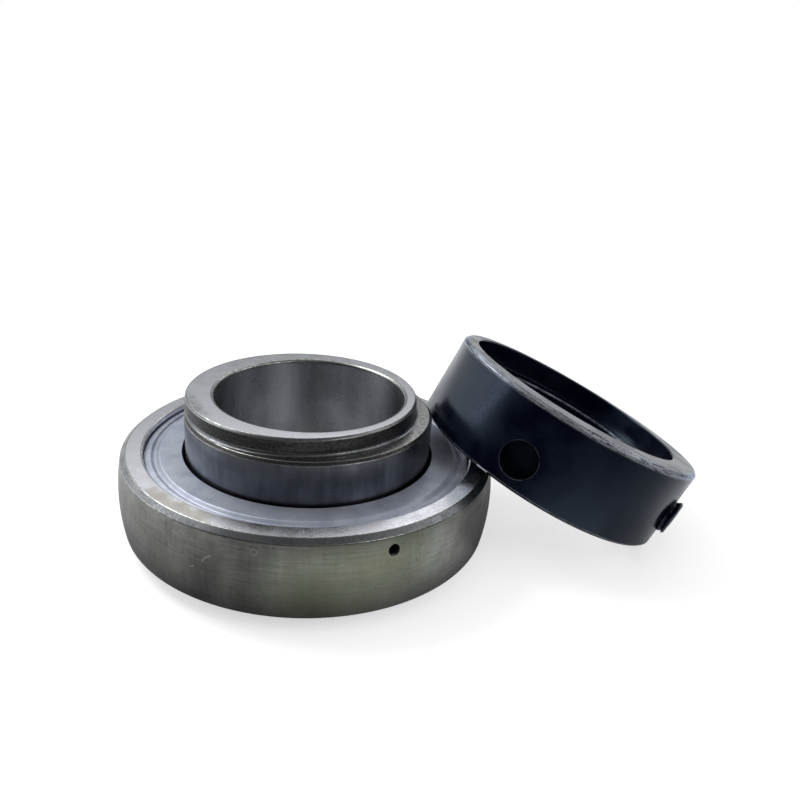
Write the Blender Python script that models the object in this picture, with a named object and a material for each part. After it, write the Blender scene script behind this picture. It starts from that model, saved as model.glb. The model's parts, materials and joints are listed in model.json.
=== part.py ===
"""Insert ball bearing with an eccentric locking collar, standing beside its own collar.

The bearing stands on the short end of its inner ring. The collar is off the cam: it lies
against the inner ring, over the edge of the outer ring, with its low side on the table.
Everything is in metres, +Z up, with the origin where the shaft axis meets the table and
+X pointing from the bearing to the collar.
"""
import math

import bmesh
import bpy
from mathutils import Matrix, Vector

MM = 0.001

# Fits shared by all pieces
CLEARANCE = 0.3 * MM            # gap between two pieces that touch

# Inner ring, from the bore outwards
BORE_D = 40.0 * MM
INNER_WALL = 6.2 * MM           # bore to ground outside
INNER_CHAMFER = 0.6 * MM        # edges of the ground outside
BORE_END_CHAMFER = 0.9 * MM     # bore edge at the short end
BORE_MOUTH_CHAMFER = 0.25 * MM  # bore edge at the cam end
SHORT_END_STAND = 2.6 * MM      # short end past the outer ring's face
LONG_END_STAND = 11.3 * MM      # cam end past the outer ring's face
CAM_LOW_WALL = 2.6 * MM         # wall over the bore where the cam is thinnest
CAM_HEIGHT = 3.6 * MM
CAM_FILLET = 0.7 * MM
CAM_FILLET_LIFT = 0.03 * MM     # fillet's foot above the shoulder
CAM_CHAMFER = 0.4 * MM
CAM_TURN = math.radians(151.0)  # direction of the cam's high side

# Balls and raceways
BALL_D = 11.112 * MM
BALL_COUNT = 9
INNER_LAND_TO_PITCH = 3.8 * MM  # inner ring's outside to the ball centres' circle
OUTER_LAND_TO_PITCH = 4.1 * MM  # ball centres' circle to the outer ring's land
RACE_SPARE = 0.28 * MM          # raceway's radius beyond the ball's

# Cage, two riveted halves of pressed sheet
CAGE_SHEET = 0.7 * MM
CAGE_WIDTH = 3.8 * MM           # across the sheet, along the radius
POCKET_PLAY = 0.3 * MM
RIVET_D = 1.4 * MM
RIVET_HEAD_D = 2.6 * MM
RIVET_HEAD_BEVEL = 0.5 * MM
RIVET_HEAD_H = 0.6 * MM

# Shields and seal lips
SHIELD_SHEET = 0.45 * MM
SHIELD_INSET = 1.1 * MM         # shield's flat below the outer ring's face
SHIELD_BORE_GAP = 0.7 * MM      # shield's inner edge to the inner ring
SHIELD_STEP = 0.65 * MM         # depth of the pressed channel near the rim
CHANNEL_TO_CAGE = 0.3 * MM      # cage's outer edge to the channel's bottom, on the radius
CHANNEL_WIDTH = 0.6 * MM
CHANNEL_SLOPE = 0.7 * MM        # run of the channel's inner side
RIDGE_SLOPE = 0.35 * MM         # run of its outer side, up to the ridge
SHIELD_RIM_DROP = 0.35 * MM     # how far the clamped rim slopes down
LIP_TO_CAGE = 0.4 * MM          # lip's outer edge to the cage, on the radius
LIP_BODY = 0.8 * MM
LIP_HEIGHT = 1.3 * MM
LIP_EDGE = 0.25 * MM

# Outer ring, outwards from its land
OUTER_WALL = 5.9 * MM           # land to the crown of the spherical outside
SEAT_LIP = 1.0 * MM             # shield seat's wall beyond the land
SEAT_BEVEL = 0.35 * MM
OUTER_CHAMFER = 0.9 * MM
GREASE_HOLE_D = 2.0 * MM
GREASE_HOLE_TURN = math.radians(-71.6)

# Locking collar
COLLAR_SLIP = 0.15 * MM         # collar bore over the shaft, on the radius
COLLAR_WALL = 8.65 * MM
COLLAR_WIDTH = 18.3 * MM
COLLAR_CHAMFER = 0.6 * MM
COLLAR_BORE_CHAMFER = 1.0 * MM
RECESS_PLAY = 0.15 * MM         # recess over the cam, on the radius
RECESS_SPARE = 1.4 * MM         # recess deeper than the cam is high
RECESS_CHAMFER = 0.2 * MM
RECESS_TURN = math.radians(103.0)
DRIFT_HOLE_D = 7.8 * MM
DRIFT_HOLE_DEPTH = 4.5 * MM
DRIFT_HOLE_LIFT = -0.5 * MM     # hole's axis above the middle of the wall under the recess
DRIFT_HOLE_TURN = math.radians(231.5)

# Set screw in the collar
TAPPED_HOLE_D = 8.0 * MM
SCREW_LENGTH = 8.5 * MM
SCREW_STAND_OUT = 1.4 * MM
SCREW_LIFT = 1.4 * MM           # screw's axis above the middle of the wall under the recess
SCREW_TURN = math.radians(315.0)
SCREW_CHAMFER = 0.7 * MM        # inner end
SCREW_EDGE = 0.35 * MM          # outer end
HEX_SOCKET = 4.0 * MM           # across flats
HEX_DEPTH = 3.5 * MM

# Cutters reach this far past the surface that they break
OVERRUN = 3.0 * MM

# Facets of the round pieces
RING_FACETS = 56
SHEET_FACETS = 40
HOLE_FACETS = 16
SMALL_FACETS = 8
BALL_SEGMENTS = 12
BALL_RINGS = 8
SPHERE_STEPS = 6
RACE_STEPS = 6
POCKET_STEPS = 7

# Radii and heights that follow from the sizes above
BORE_R = BORE_D / 2
INNER_R = BORE_R + INNER_WALL
PITCH_R = INNER_R + INNER_LAND_TO_PITCH
LAND_R = PITCH_R + OUTER_LAND_TO_PITCH
OUTSIDE_R = LAND_R + OUTER_WALL
BALL_R = BALL_D / 2
RACE_R = BALL_R + RACE_SPARE
OUTER_RACE_CENTRE = PITCH_R + BALL_R + CLEARANCE - RACE_R
INNER_RACE_CENTRE = PITCH_R - BALL_R - CLEARANCE + RACE_R
POCKET_R = BALL_R + POCKET_PLAY
CAGE_CROWN = POCKET_R + CAGE_SHEET
SHIELD_TOP = CAGE_CROWN + CLEARANCE + SHIELD_SHEET
HALF_WIDTH = SHIELD_TOP + SHIELD_INSET
MIDDLE_Z = HALF_WIDTH + SHORT_END_STAND
RING_TOP_Z = MIDDLE_Z + HALF_WIDTH
CAM_END_Z = RING_TOP_Z + LONG_END_STAND
SHOULDER_Z = CAM_END_Z - CAM_HEIGHT
CAM_R = (INNER_R + BORE_R + CAM_LOW_WALL) / 2
CAM_OFFSET = (INNER_R - BORE_R - CAM_LOW_WALL) / 2
SEAT_R = LAND_R + SEAT_LIP
SEAT_FLOOR = SHIELD_TOP - SHIELD_RIM_DROP - SHIELD_SHEET - CLEARANCE
FACE_OUTER_R = math.sqrt(OUTSIDE_R ** 2 - HALF_WIDTH ** 2) - OUTER_CHAMFER
COLLAR_BORE_R = BORE_R + COLLAR_SLIP
COLLAR_R = COLLAR_BORE_R + COLLAR_WALL
RECESS_R = CAM_R + RECESS_PLAY
RECESS_DEPTH = CAM_HEIGHT + RECESS_SPARE
RECESS_FLOOR = COLLAR_WIDTH - RECESS_DEPTH
SCREW_R = TAPPED_HOLE_D / 2 - CLEARANCE


def clear_scene():
    for obj in list(bpy.data.objects):
        bpy.data.objects.remove(obj, do_unlink=True)


def material(name, colour, roughness, metallic):
    mat = bpy.data.materials.new(name)
    mat.use_nodes = True
    shader = mat.node_tree.nodes["Principled BSDF"]
    shader.inputs["Base Color"].default_value = (*colour, 1.0)
    shader.inputs["Roughness"].default_value = roughness
    shader.inputs["Metallic"].default_value = metallic
    return mat


def add_object(name, bm, mat):
    """Turns a bmesh into a smooth-shaded object with outward faces."""
    bmesh.ops.recalc_face_normals(bm, faces=bm.faces)
    mesh = bpy.data.meshes.new(name)
    bm.to_mesh(mesh)
    bm.free()
    mesh.shade_smooth()
    mesh.set_sharp_from_angle(angle=math.radians(30))
    obj = bpy.data.objects.new(name, mesh)
    bpy.context.scene.collection.objects.link(obj)
    if mat:
        mesh.materials.append(mat)
    return obj


def turned(name, profile, facets, mat):
    """Spins a closed outline of (radius, height) points around Z into a ring."""
    bm = bmesh.new()
    verts = [bm.verts.new((r, 0.0, z)) for r, z in profile]
    edges = [bm.edges.new((a, b)) for a, b in zip(verts, verts[1:] + verts[:1])]
    bmesh.ops.spin(bm, geom=verts + edges, cent=(0, 0, 0), axis=(0, 0, 1),
                   angle=math.tau, steps=facets, use_merge=True)
    return add_object(name, bm, mat)


def solid_turned(name, profile, facets, mat):
    """Spins an outline whose two ends lie on Z into a solid."""
    bm = bmesh.new()
    verts = [bm.verts.new((r, 0.0, z)) for r, z in profile]
    edges = [bm.edges.new((a, b)) for a, b in zip(verts, verts[1:])]
    bmesh.ops.spin(bm, geom=verts + edges, cent=(0, 0, 0), axis=(0, 0, 1),
                   angle=math.tau, steps=facets, use_merge=True)
    bmesh.ops.remove_doubles(bm, verts=bm.verts, dist=0.000001)
    return add_object(name, bm, mat)


def ring_of_loops(name, stations, facets, mat):
    """Joins loops of points, each (radius at an angle, height), into a closed ring."""
    bm = bmesh.new()
    loops = []
    for radius_at, z in stations:
        loop = []
        for i in range(facets):
            a = math.tau * i / facets
            r = radius_at(a)
            loop.append(bm.verts.new((r * math.cos(a), r * math.sin(a), z)))
        loops.append(loop)
    for low, high in zip(loops, loops[1:] + loops[:1]):
        for i in range(facets):
            j = (i + 1) % facets
            bm.faces.new((low[i], low[j], high[j], high[i]))
    return add_object(name, bm, mat)


def round_at(radius):
    return lambda a: radius


def offset_round_at(radius, offset, turn):
    """Radius, seen from the ring's own centre, of a circle shifted towards turn."""
    def radius_at(a):
        side = offset * math.sin(a - turn)
        return offset * math.cos(a - turn) + math.sqrt(radius ** 2 - side ** 2)
    return radius_at


def cut(obj, cutter):
    cutter.hide_render = True
    cutter.display_type = 'WIRE'
    boolean = obj.modifiers.new(cutter.name, 'BOOLEAN')
    boolean.operation = 'DIFFERENCE'
    boolean.solver = 'EXACT'
    boolean.object = cutter


def rods(name, radius, facets, ends):
    """Cylinders, each from one end point to the other, as a cutter."""
    bm = bmesh.new()
    for start, end in ends:
        line = end - start
        turn = Vector((0, 0, 1)).rotation_difference(line).to_matrix().to_4x4()
        place = Matrix.Translation((start + end) / 2) @ turn
        bmesh.ops.create_cone(bm, cap_ends=True, segments=facets, radius1=radius,
                              radius2=radius, depth=line.length, matrix=place)
    return add_object(name, bm, None)


def arc(centre_r, centre_z, radius, start, end, steps):
    """Points of an arc in the (radius, height) plane, both ends included."""
    points = []
    for i in range(steps + 1):
        a = start + (end - start) * i / steps
        points.append((centre_r + radius * math.cos(a), centre_z + radius * math.sin(a)))
    return points


def along(turn):
    """Level direction at an angle from +X."""
    return Vector((math.cos(turn), math.sin(turn), 0.0))


def copies(first, name, count, place):
    """Places the first of a set of like pieces, then objects that share its mesh."""
    first.location = place(0)
    for i in range(1, count):
        copy = bpy.data.objects.new("%s_%d" % (name, i + 1), first.data)
        copy.location = place(i)
        bpy.context.scene.collection.objects.link(copy)


def outer_ring_profile():
    """Outline of the outer ring's section, heights from its middle."""
    edge_z = HALF_WIDTH - OUTER_CHAMFER
    edge_angle = math.asin(edge_z / OUTSIDE_R)
    outside = arc(0.0, 0.0, OUTSIDE_R, -edge_angle, edge_angle, SPHERE_STEPS)
    race_angle = math.acos((LAND_R - OUTER_RACE_CENTRE) / RACE_R)
    race = arc(OUTER_RACE_CENTRE, 0.0, RACE_R, race_angle, -race_angle, RACE_STEPS)
    seat = [(FACE_OUTER_R, HALF_WIDTH), (SEAT_R, HALF_WIDTH),
            (SEAT_R - SEAT_BEVEL, HALF_WIDTH - SEAT_BEVEL),
            (SEAT_R - SEAT_BEVEL, SEAT_FLOOR), (LAND_R, SEAT_FLOOR)]
    lower_seat = [(r, -z) for r, z in reversed(seat)]
    return outside + seat + race + lower_seat


def land_middle():
    """Height of the middle of the land between the raceway and the shield's seat."""
    race_edge = math.sqrt(RACE_R ** 2 - (LAND_R - OUTER_RACE_CENTRE) ** 2)
    return (race_edge + SEAT_FLOOR) / 2


def make_outer_ring(mat):
    ring = turned("outer_ring", outer_ring_profile(), RING_FACETS, mat)
    out = along(GREASE_HOLE_TURN)
    level = Vector((0.0, 0.0, land_middle()))
    drill = rods("grease_hole_drill", GREASE_HOLE_D / 2, SMALL_FACETS,
                 [(out * (LAND_R - OVERRUN) + level, out * (OUTSIDE_R + OVERRUN) + level)])
    for obj in (ring, drill):
        obj.location.z = MIDDLE_Z
    cut(ring, drill)


def make_inner_ring(mat):
    """Ground ring with a raceway, a shoulder and the eccentric cam above it."""
    race_angle = math.acos((INNER_RACE_CENTRE - INNER_R) / RACE_R)
    race = arc(INNER_RACE_CENTRE, MIDDLE_Z, RACE_R, math.pi + race_angle,
               math.pi - race_angle, RACE_STEPS)
    cam = offset_round_at(CAM_R, CAM_OFFSET, CAM_TURN)

    def shoulder(a):
        """Chamfered edge, which runs out where the cam is flush with the ring."""
        return min(max(INNER_R - INNER_CHAMFER, cam(a)), INNER_R)

    def foot(a):
        return min(cam(a) + CAM_FILLET, shoulder(a))

    def fillet_middle(a):
        return cam(a) + (foot(a) - cam(a)) * (1 - math.sin(math.pi / 4))

    def cam_edge(a):
        return cam(a) - CAM_CHAMFER

    stations = [(round_at(BORE_R + BORE_END_CHAMFER), 0.0),
                (round_at(INNER_R - INNER_CHAMFER), 0.0),
                (round_at(INNER_R), INNER_CHAMFER)]
    stations += [(round_at(r), z) for r, z in race]
    stations += [(round_at(INNER_R), SHOULDER_Z - INNER_CHAMFER),
                 (shoulder, SHOULDER_Z),
                 (foot, SHOULDER_Z + CAM_FILLET_LIFT),
                 (fillet_middle, SHOULDER_Z + CAM_FILLET * (1 - math.cos(math.pi / 4))),
                 (cam, SHOULDER_Z + CAM_FILLET),
                 (cam, CAM_END_Z - CAM_CHAMFER),
                 (cam_edge, CAM_END_Z),
                 (round_at(BORE_R + BORE_MOUTH_CHAMFER), CAM_END_Z),
                 (round_at(BORE_R), CAM_END_Z - BORE_MOUTH_CHAMFER),
                 (round_at(BORE_R), BORE_END_CHAMFER)]
    return ring_of_loops("inner_ring", stations, RING_FACETS, mat)


def ball_angle(i):
    return math.tau * i / BALL_COUNT


def on_pitch_circle(i):
    """Point at the ring's middle height, i ball spaces from +X."""
    return along(ball_angle(i)) * PITCH_R + Vector((0.0, 0.0, MIDDLE_Z))


def make_balls(mat):
    bm = bmesh.new()
    bmesh.ops.create_uvsphere(bm, u_segments=BALL_SEGMENTS, v_segments=BALL_RINGS,
                              radius=BALL_R)
    copies(add_object("ball_1", bm, mat), "ball", BALL_COUNT, on_pitch_circle)


def cage_section(radius, drop):
    """Lower and upper points (along the pitch circle, height) over one ball's pocket."""
    low_r = math.sqrt(POCKET_R ** 2 - drop ** 2)
    high_r = low_r + CAGE_SHEET
    low_z = CLEARANCE / 2
    high_z = low_z + CAGE_SHEET
    low_start = math.asin(low_z / low_r)
    high_start = math.asin(high_z / high_r)
    points = []
    for i in range(POCKET_STEPS + 1):
        share = i / POCKET_STEPS
        low_a = low_start + (math.pi - 2 * low_start) * share
        high_a = high_start + (math.pi - 2 * high_start) * share
        points.append(((low_r * math.cos(low_a) / radius, low_r * math.sin(low_a)),
                       (high_r * math.cos(high_a) / radius, high_r * math.sin(high_a))))
    return points


def make_cage_half(name, side, mat):
    """Ribbon of sheet that arches over each ball and lies flat between the balls."""
    half = CAGE_WIDTH / 2
    tracks = []
    for drop in (-half, 0.0, half):
        radius = PITCH_R + drop
        sines = cage_section(radius, drop)
        track = []
        for i in range(BALL_COUNT):
            for low, high in reversed(sines):
                track.append([(radius, ball_angle(i) + math.asin(s), z) for s, z in (low, high)])
        tracks.append(track)
    bm = bmesh.new()

    def vert(point):
        r, a, z = point
        return bm.verts.new((r * math.cos(a), r * math.sin(a), side * z))

    count = len(tracks[0])
    sections = []
    for k in range(count):
        lows = [vert(track[k][0]) for track in tracks]
        highs = [vert(track[k][1]) for track in tracks]
        sections.append(lows + highs[::-1])
    for k in range(count):
        here, there = sections[k], sections[(k + 1) % count]
        for i in range(len(here)):
            j = (i + 1) % len(here)
            bm.faces.new((here[i], here[j], there[j], there[i]))
    cage = add_object(name, bm, mat)
    cage.location.z = MIDDLE_Z
    up = Vector((0.0, 0.0, CAGE_SHEET + OVERRUN))
    drill = rods(name + "_rivet_drill", RIVET_D / 2 + CLEARANCE, SMALL_FACETS,
                 [(rivet_place(i) - up, rivet_place(i) + up) for i in range(BALL_COUNT)])
    cut(cage, drill)


def rivet_place(i):
    return on_pitch_circle(i + 0.5)


def make_rivets(mat):
    """Rivets through both halves of the cage, with a head at each end."""
    under = CLEARANCE / 2 + CAGE_SHEET + CLEARANCE
    top = under + RIVET_HEAD_H
    shank = RIVET_D / 2
    head = RIVET_HEAD_D / 2
    crown = head - RIVET_HEAD_BEVEL
    upper = [(0.0, top), (crown, top), (head, under), (shank, under)]
    profile = upper + [(r, -z) for r, z in reversed(upper)]
    rivet = solid_turned("rivet_1", profile, SMALL_FACETS, mat)
    copies(rivet, "rivet", BALL_COUNT, rivet_place)


def shield_profile(side):
    """Pressed sheet: flat, then a channel, a ridge and the rim that the ring clamps."""
    inner = INNER_R + SHIELD_BORE_GAP
    rim = SEAT_R - SEAT_BEVEL - CLEARANCE
    channel_in = PITCH_R + CAGE_WIDTH / 2 + CHANNEL_TO_CAGE
    channel_out = channel_in + CHANNEL_WIDTH
    top = [(inner, SHIELD_TOP), (channel_in - CHANNEL_SLOPE, SHIELD_TOP),
           (channel_in, SHIELD_TOP - SHIELD_STEP), (channel_out, SHIELD_TOP - SHIELD_STEP),
           (channel_out + RIDGE_SLOPE, SHIELD_TOP), (rim, SHIELD_TOP - SHIELD_RIM_DROP)]
    under = [(r, z - SHIELD_SHEET) for r, z in reversed(top)]
    return [(r, side * z) for r, z in top + under]


def lip_profile(side):
    """Rubber lip under the shield's inner edge, with its tip near the inner ring."""
    tip = INNER_R + CLEARANCE
    outer = PITCH_R - CAGE_WIDTH / 2 - LIP_TO_CAGE
    neck = tip + (outer - tip) / 3
    top = SHIELD_TOP - SHIELD_SHEET - CLEARANCE
    points = [(neck, top), (outer, top), (outer, top - LIP_BODY), (neck, top - LIP_BODY),
              (tip, top - LIP_HEIGHT), (tip, top - LIP_HEIGHT + LIP_EDGE)]
    return [(r, side * z) for r, z in points]


def make_seals(sheet, rubber):
    for word, side in (("upper", 1), ("lower", -1)):
        shield = turned(word + "_shield", shield_profile(side), SHEET_FACETS, sheet)
        lip = turned(word + "_seal_lip", lip_profile(side), SHEET_FACETS, rubber)
        for obj in (shield, lip):
            obj.location.z = MIDDLE_Z


def make_collar(mat):
    """Collar in its own frame: bottom face at 0, bore along Z, recess at the top."""
    recess = offset_round_at(RECESS_R, CAM_OFFSET, RECESS_TURN)

    def recess_mouth(a):
        return recess(a) + RECESS_CHAMFER

    stations = [(round_at(COLLAR_BORE_R + COLLAR_BORE_CHAMFER), 0.0),
                (round_at(COLLAR_R - COLLAR_CHAMFER), 0.0),
                (round_at(COLLAR_R), COLLAR_CHAMFER),
                (round_at(COLLAR_R), COLLAR_WIDTH - COLLAR_CHAMFER),
                (round_at(COLLAR_R - COLLAR_CHAMFER), COLLAR_WIDTH),
                (recess_mouth, COLLAR_WIDTH),
                (recess, COLLAR_WIDTH - RECESS_CHAMFER),
                (recess, RECESS_FLOOR),
                (round_at(COLLAR_BORE_R), RECESS_FLOOR),
                (round_at(COLLAR_BORE_R), COLLAR_BORE_CHAMFER)]
    collar = ring_of_loops("locking_collar", stations, RING_FACETS, mat)
    drift = rods("drift_hole_drill", DRIFT_HOLE_D / 2, HOLE_FACETS,
                 [(collar_wall_point(DRIFT_HOLE_TURN, DRIFT_HOLE_LIFT, -DRIFT_HOLE_DEPTH),
                   collar_wall_point(DRIFT_HOLE_TURN, DRIFT_HOLE_LIFT, OVERRUN))])
    tapping = rods("tapped_hole_drill", TAPPED_HOLE_D / 2, HOLE_FACETS,
                   [(collar_wall_point(SCREW_TURN, SCREW_LIFT, -COLLAR_WALL - OVERRUN),
                     collar_wall_point(SCREW_TURN, SCREW_LIFT, OVERRUN))])
    cut(collar, drift)
    cut(collar, tapping)
    return [collar, drift, tapping]


def collar_wall_point(turn, lift, out):
    """Point beyond the collar's outside, lifted from the middle of its solid wall."""
    return along(turn) * (COLLAR_R + out) + Vector((0.0, 0.0, RECESS_FLOOR / 2 + lift))


def make_set_screw(mat):
    """Socket set screw along its own Z, outer end up, placed in the collar's frame."""
    profile = [(0.0, 0.0), (SCREW_R - SCREW_CHAMFER, 0.0), (SCREW_R, SCREW_CHAMFER),
               (SCREW_R, SCREW_LENGTH - SCREW_EDGE), (SCREW_R - SCREW_EDGE, SCREW_LENGTH),
               (0.0, SCREW_LENGTH)]
    screw = solid_turned("set_screw", profile, HOLE_FACETS, mat)
    key_r = HEX_SOCKET / 2 / math.cos(math.pi / 6)
    key = rods("hex_key_cutter", key_r, 6, [(Vector((0.0, 0.0, SCREW_LENGTH - HEX_DEPTH)),
                                             Vector((0.0, 0.0, SCREW_LENGTH + OVERRUN)))])
    cut(screw, key)
    inner_end = collar_wall_point(SCREW_TURN, SCREW_LIFT, SCREW_STAND_OUT - SCREW_LENGTH)
    turn = Vector((0, 0, 1)).rotation_difference(along(SCREW_TURN)).to_matrix().to_4x4()
    for obj in (screw, key):
        obj.matrix_world = Matrix.Translation(inner_end) @ turn
    return [screw, key]


def collar_frame(tilt):
    """Place of the tilted collar: low side on the table, rim against the inner ring."""
    x = INNER_R + CLEARANCE + COLLAR_R * math.cos(tilt)
    z = (COLLAR_R - COLLAR_CHAMFER) * math.sin(tilt)
    return Matrix.Translation((x, 0.0, z)) @ Matrix.Rotation(tilt, 4, 'Y')


def beyond(r, h, inner, outer, inner_chamfer, outer_chamfer):
    """Distance of a point from a section that lies above h = 0 between two radii."""
    root = math.sqrt(2)
    return max(-h, inner - r, r - outer,
               (inner_chamfer - (r - inner) - h) / root,
               (outer_chamfer - (outer - r) - h) / root)


def lean_gap(tilt):
    """Smallest gap between the collar's underside and the outer ring's upper corner."""
    place = collar_frame(tilt)
    back = place.inverted()
    ring_r = FACE_OUTER_R + OUTER_CHAMFER
    gaps = []
    for step in range(-45, 46):
        a = math.radians(2 * step)
        for r, z in ((FACE_OUTER_R, RING_TOP_Z), (ring_r, RING_TOP_Z - OUTER_CHAMFER)):
            q = back @ Vector((r * math.cos(a), r * math.sin(a), z))
            gaps.append(beyond(math.hypot(q.x, q.y), q.z, COLLAR_BORE_R, COLLAR_R,
                               COLLAR_BORE_CHAMFER, COLLAR_CHAMFER))
        r = COLLAR_BORE_R + COLLAR_BORE_CHAMFER
        q = place @ Vector((-r * math.cos(a), r * math.sin(a), 0.0))
        gaps.append(beyond(math.hypot(q.x, q.y), RING_TOP_Z - q.z, 0.0, ring_r,
                           0.0, OUTER_CHAMFER))
    return min(gaps)


def lean_tilt():
    """Tilt at which the collar just clears the outer ring, found by halving."""
    low, high = math.radians(5), math.radians(60)
    for _ in range(30):
        middle = (low + high) / 2
        if lean_gap(middle) < CLEARANCE:
            low = middle
        else:
            high = middle
    return high


def main():
    clear_scene()
    ground_steel = material("ground bearing steel", (0.42, 0.43, 0.41), 0.28, 1.0)
    ball_steel = material("polished ball steel", (0.62, 0.63, 0.64), 0.08, 1.0)
    cage_steel = material("pressed cage steel", (0.50, 0.49, 0.46), 0.35, 1.0)
    shield_steel = material("zinc coated shield steel", (0.52, 0.55, 0.60), 0.30, 1.0)
    rubber = material("nitrile rubber", (0.02, 0.02, 0.02), 0.60, 0.0)
    black_oxide = material("black oxide steel", (0.012, 0.013, 0.016), 0.25, 0.6)

    make_outer_ring(ground_steel)
    make_inner_ring(ground_steel)
    make_balls(ball_steel)
    make_cage_half("upper_cage", 1, cage_steel)
    make_cage_half("lower_cage", -1, cage_steel)
    make_rivets(cage_steel)
    make_seals(shield_steel, rubber)
    leaning = make_collar(black_oxide) + make_set_screw(black_oxide)
    place = collar_frame(lean_tilt())
    for obj in leaning:
        obj.matrix_world = place @ obj.matrix_world


main()
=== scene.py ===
# Dresses an insert ball bearing and its eccentric locking collar for rendering
import json
import math

import bmesh
import bpy
from mathutils import Matrix, Vector


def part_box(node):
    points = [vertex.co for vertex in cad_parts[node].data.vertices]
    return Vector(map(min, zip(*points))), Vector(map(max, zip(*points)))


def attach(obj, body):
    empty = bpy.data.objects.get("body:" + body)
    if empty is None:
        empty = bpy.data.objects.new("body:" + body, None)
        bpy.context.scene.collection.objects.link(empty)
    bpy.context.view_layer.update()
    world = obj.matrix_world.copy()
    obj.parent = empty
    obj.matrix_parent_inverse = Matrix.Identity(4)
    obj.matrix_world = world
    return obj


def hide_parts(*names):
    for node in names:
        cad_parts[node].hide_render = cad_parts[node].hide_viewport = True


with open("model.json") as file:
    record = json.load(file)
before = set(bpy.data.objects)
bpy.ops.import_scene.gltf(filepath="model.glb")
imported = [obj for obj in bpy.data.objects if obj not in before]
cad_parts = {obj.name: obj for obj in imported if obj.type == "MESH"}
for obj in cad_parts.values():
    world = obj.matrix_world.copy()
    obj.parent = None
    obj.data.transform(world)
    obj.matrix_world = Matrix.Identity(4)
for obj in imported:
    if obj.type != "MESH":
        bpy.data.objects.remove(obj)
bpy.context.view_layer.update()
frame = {"nodes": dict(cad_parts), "record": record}
print("frame loaded:", len(frame["nodes"]), "nodes")

mm = 0.001
turnSteps = 240          # steps round a turned ring
holeSteps = 64           # steps round a drilled hole
fitGap = 0.3             # mm between pieces that touch, as in the frame
bumpDepth = 0.02 * mm
weldGap = 0.0002 * mm
creaseAngle = math.radians(35)


def hexToLinear(code):
    parts = [int(code[i:i + 2], 16) / 255 for i in (1, 3, 5)]
    return tuple(c / 12.92 if c <= 0.04045 else ((c + 0.055) / 1.055) ** 2.4 for c in parts) + (1.0,)


def addNode(tree, kind, settings=None, inputs=None):
    node = tree.nodes.new(kind)
    for key, value in (settings or {}).items():
        setattr(node, key, value)
    for key, value in (inputs or {}).items():
        if isinstance(value, bpy.types.NodeSocket):
            tree.links.new(value, node.inputs[key])
        else:
            node.inputs[key].default_value = value
    return node


def emptyTree(owner):
    owner.use_nodes = True
    owner.node_tree.nodes.clear()
    return owner.node_tree


def linkObject(name, mesh):
    obj = bpy.data.objects.new(name, mesh)
    bpy.context.scene.collection.objects.link(obj)
    return obj


# places and sizes that the frame already has, in mm
def boxInMm(node):
    low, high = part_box(node)
    return low / mm, high / mm


ringLow, ringHigh = boxInMm("outer_ring")
innerHigh = boxInMm("inner_ring")[1]
ballLow, ballHigh = boxInMm("ball_1")
shieldHigh = boxInMm("upper_shield")[1]
lipLow, lipHigh = boxInMm("upper_seal_lip")
collarLow, collarHigh = boxInMm("locking_collar")
middleZ = (ringLow.z + ringHigh.z) / 2
halfWidth = (ringHigh.z - ringLow.z) / 2
outsideR = ringHigh.x
groundR = innerHigh.x                      # ground outside of the inner ring
camEndZ = innerHigh.z
ballR = (ballHigh.z - ballLow.z) / 2
pitchR = (ballHigh.x + ballLow.x) / 2
rimMount = [m for m in frame["record"]["mounts"] if m["name"] == "collar_rim_face"][0]
collarAxis = Vector(rimMount["axis"]).normalized()
collarTilt = math.atan2(collarAxis.x, collarAxis.z)


# turned shapes: an outline is a list of (radius, height, finish of the stretch after it, rounding);
# rubbed is the finish of the roundings, where they have one of their own
def arcPoints(centreR, centreZ, radius, start, end, steps, finish):
    turns = [start + (end - start) * i / steps for i in range(steps + 1)]
    return [(centreR + radius * math.cos(a), centreZ + radius * math.sin(a), finish, 0.0)
            for a in turns]


def roundCorners(outline, rubbed=None, steps=3):
    points = []
    for i, (r, z, finish, size) in enumerate(outline):
        if not size:
            points.append((r, z, finish))
            continue
        before, after = outline[i - 1], outline[(i + 1) % len(outline)]
        corner = Vector((r, z))
        ends = []
        for other in (before, after):
            side = Vector(other[:2]) - corner
            ends.append(corner + side * min(size / max(side.length, 1e-9), 0.45))
        for k in range(steps + 1):
            t = k / steps
            p = ends[0] * (1 - t) ** 2 + corner * 2 * t * (1 - t) + ends[1] * t * t
            tone = before[2] if t < 0.5 else finish
            points.append((p.x, p.y, finish if k == steps else tone if rubbed is None else rubbed))
    return points


def outlineObject(name, outline, liftZ=0.0, rubbed=None):
    points = roundCorners(outline, rubbed)
    mesh = bpy.data.meshes.new(name)
    count = len(points)
    mesh.from_pydata([(r * mm, 0.0, (z + liftZ) * mm) for r, z, finish in points],
                     [(i, (i + 1) % count) for i in range(count)], [])
    mesh.attributes.new("finish", 'INT', 'POINT').data.foreach_set("value", [p[2] for p in points])
    return linkObject(name, mesh)


def startGroup(name, inputs):
    tree = bpy.data.node_groups.new(name, 'GeometryNodeTree')
    for label, kind in (("Geometry", "Geometry"),) + inputs:
        tree.interface.new_socket(label, in_out='INPUT', socket_type="NodeSocket" + kind)
    tree.interface.new_socket("Geometry", in_out='OUTPUT', socket_type="NodeSocketGeometry")
    return tree, addNode(tree, "NodeGroupInput").outputs


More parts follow.
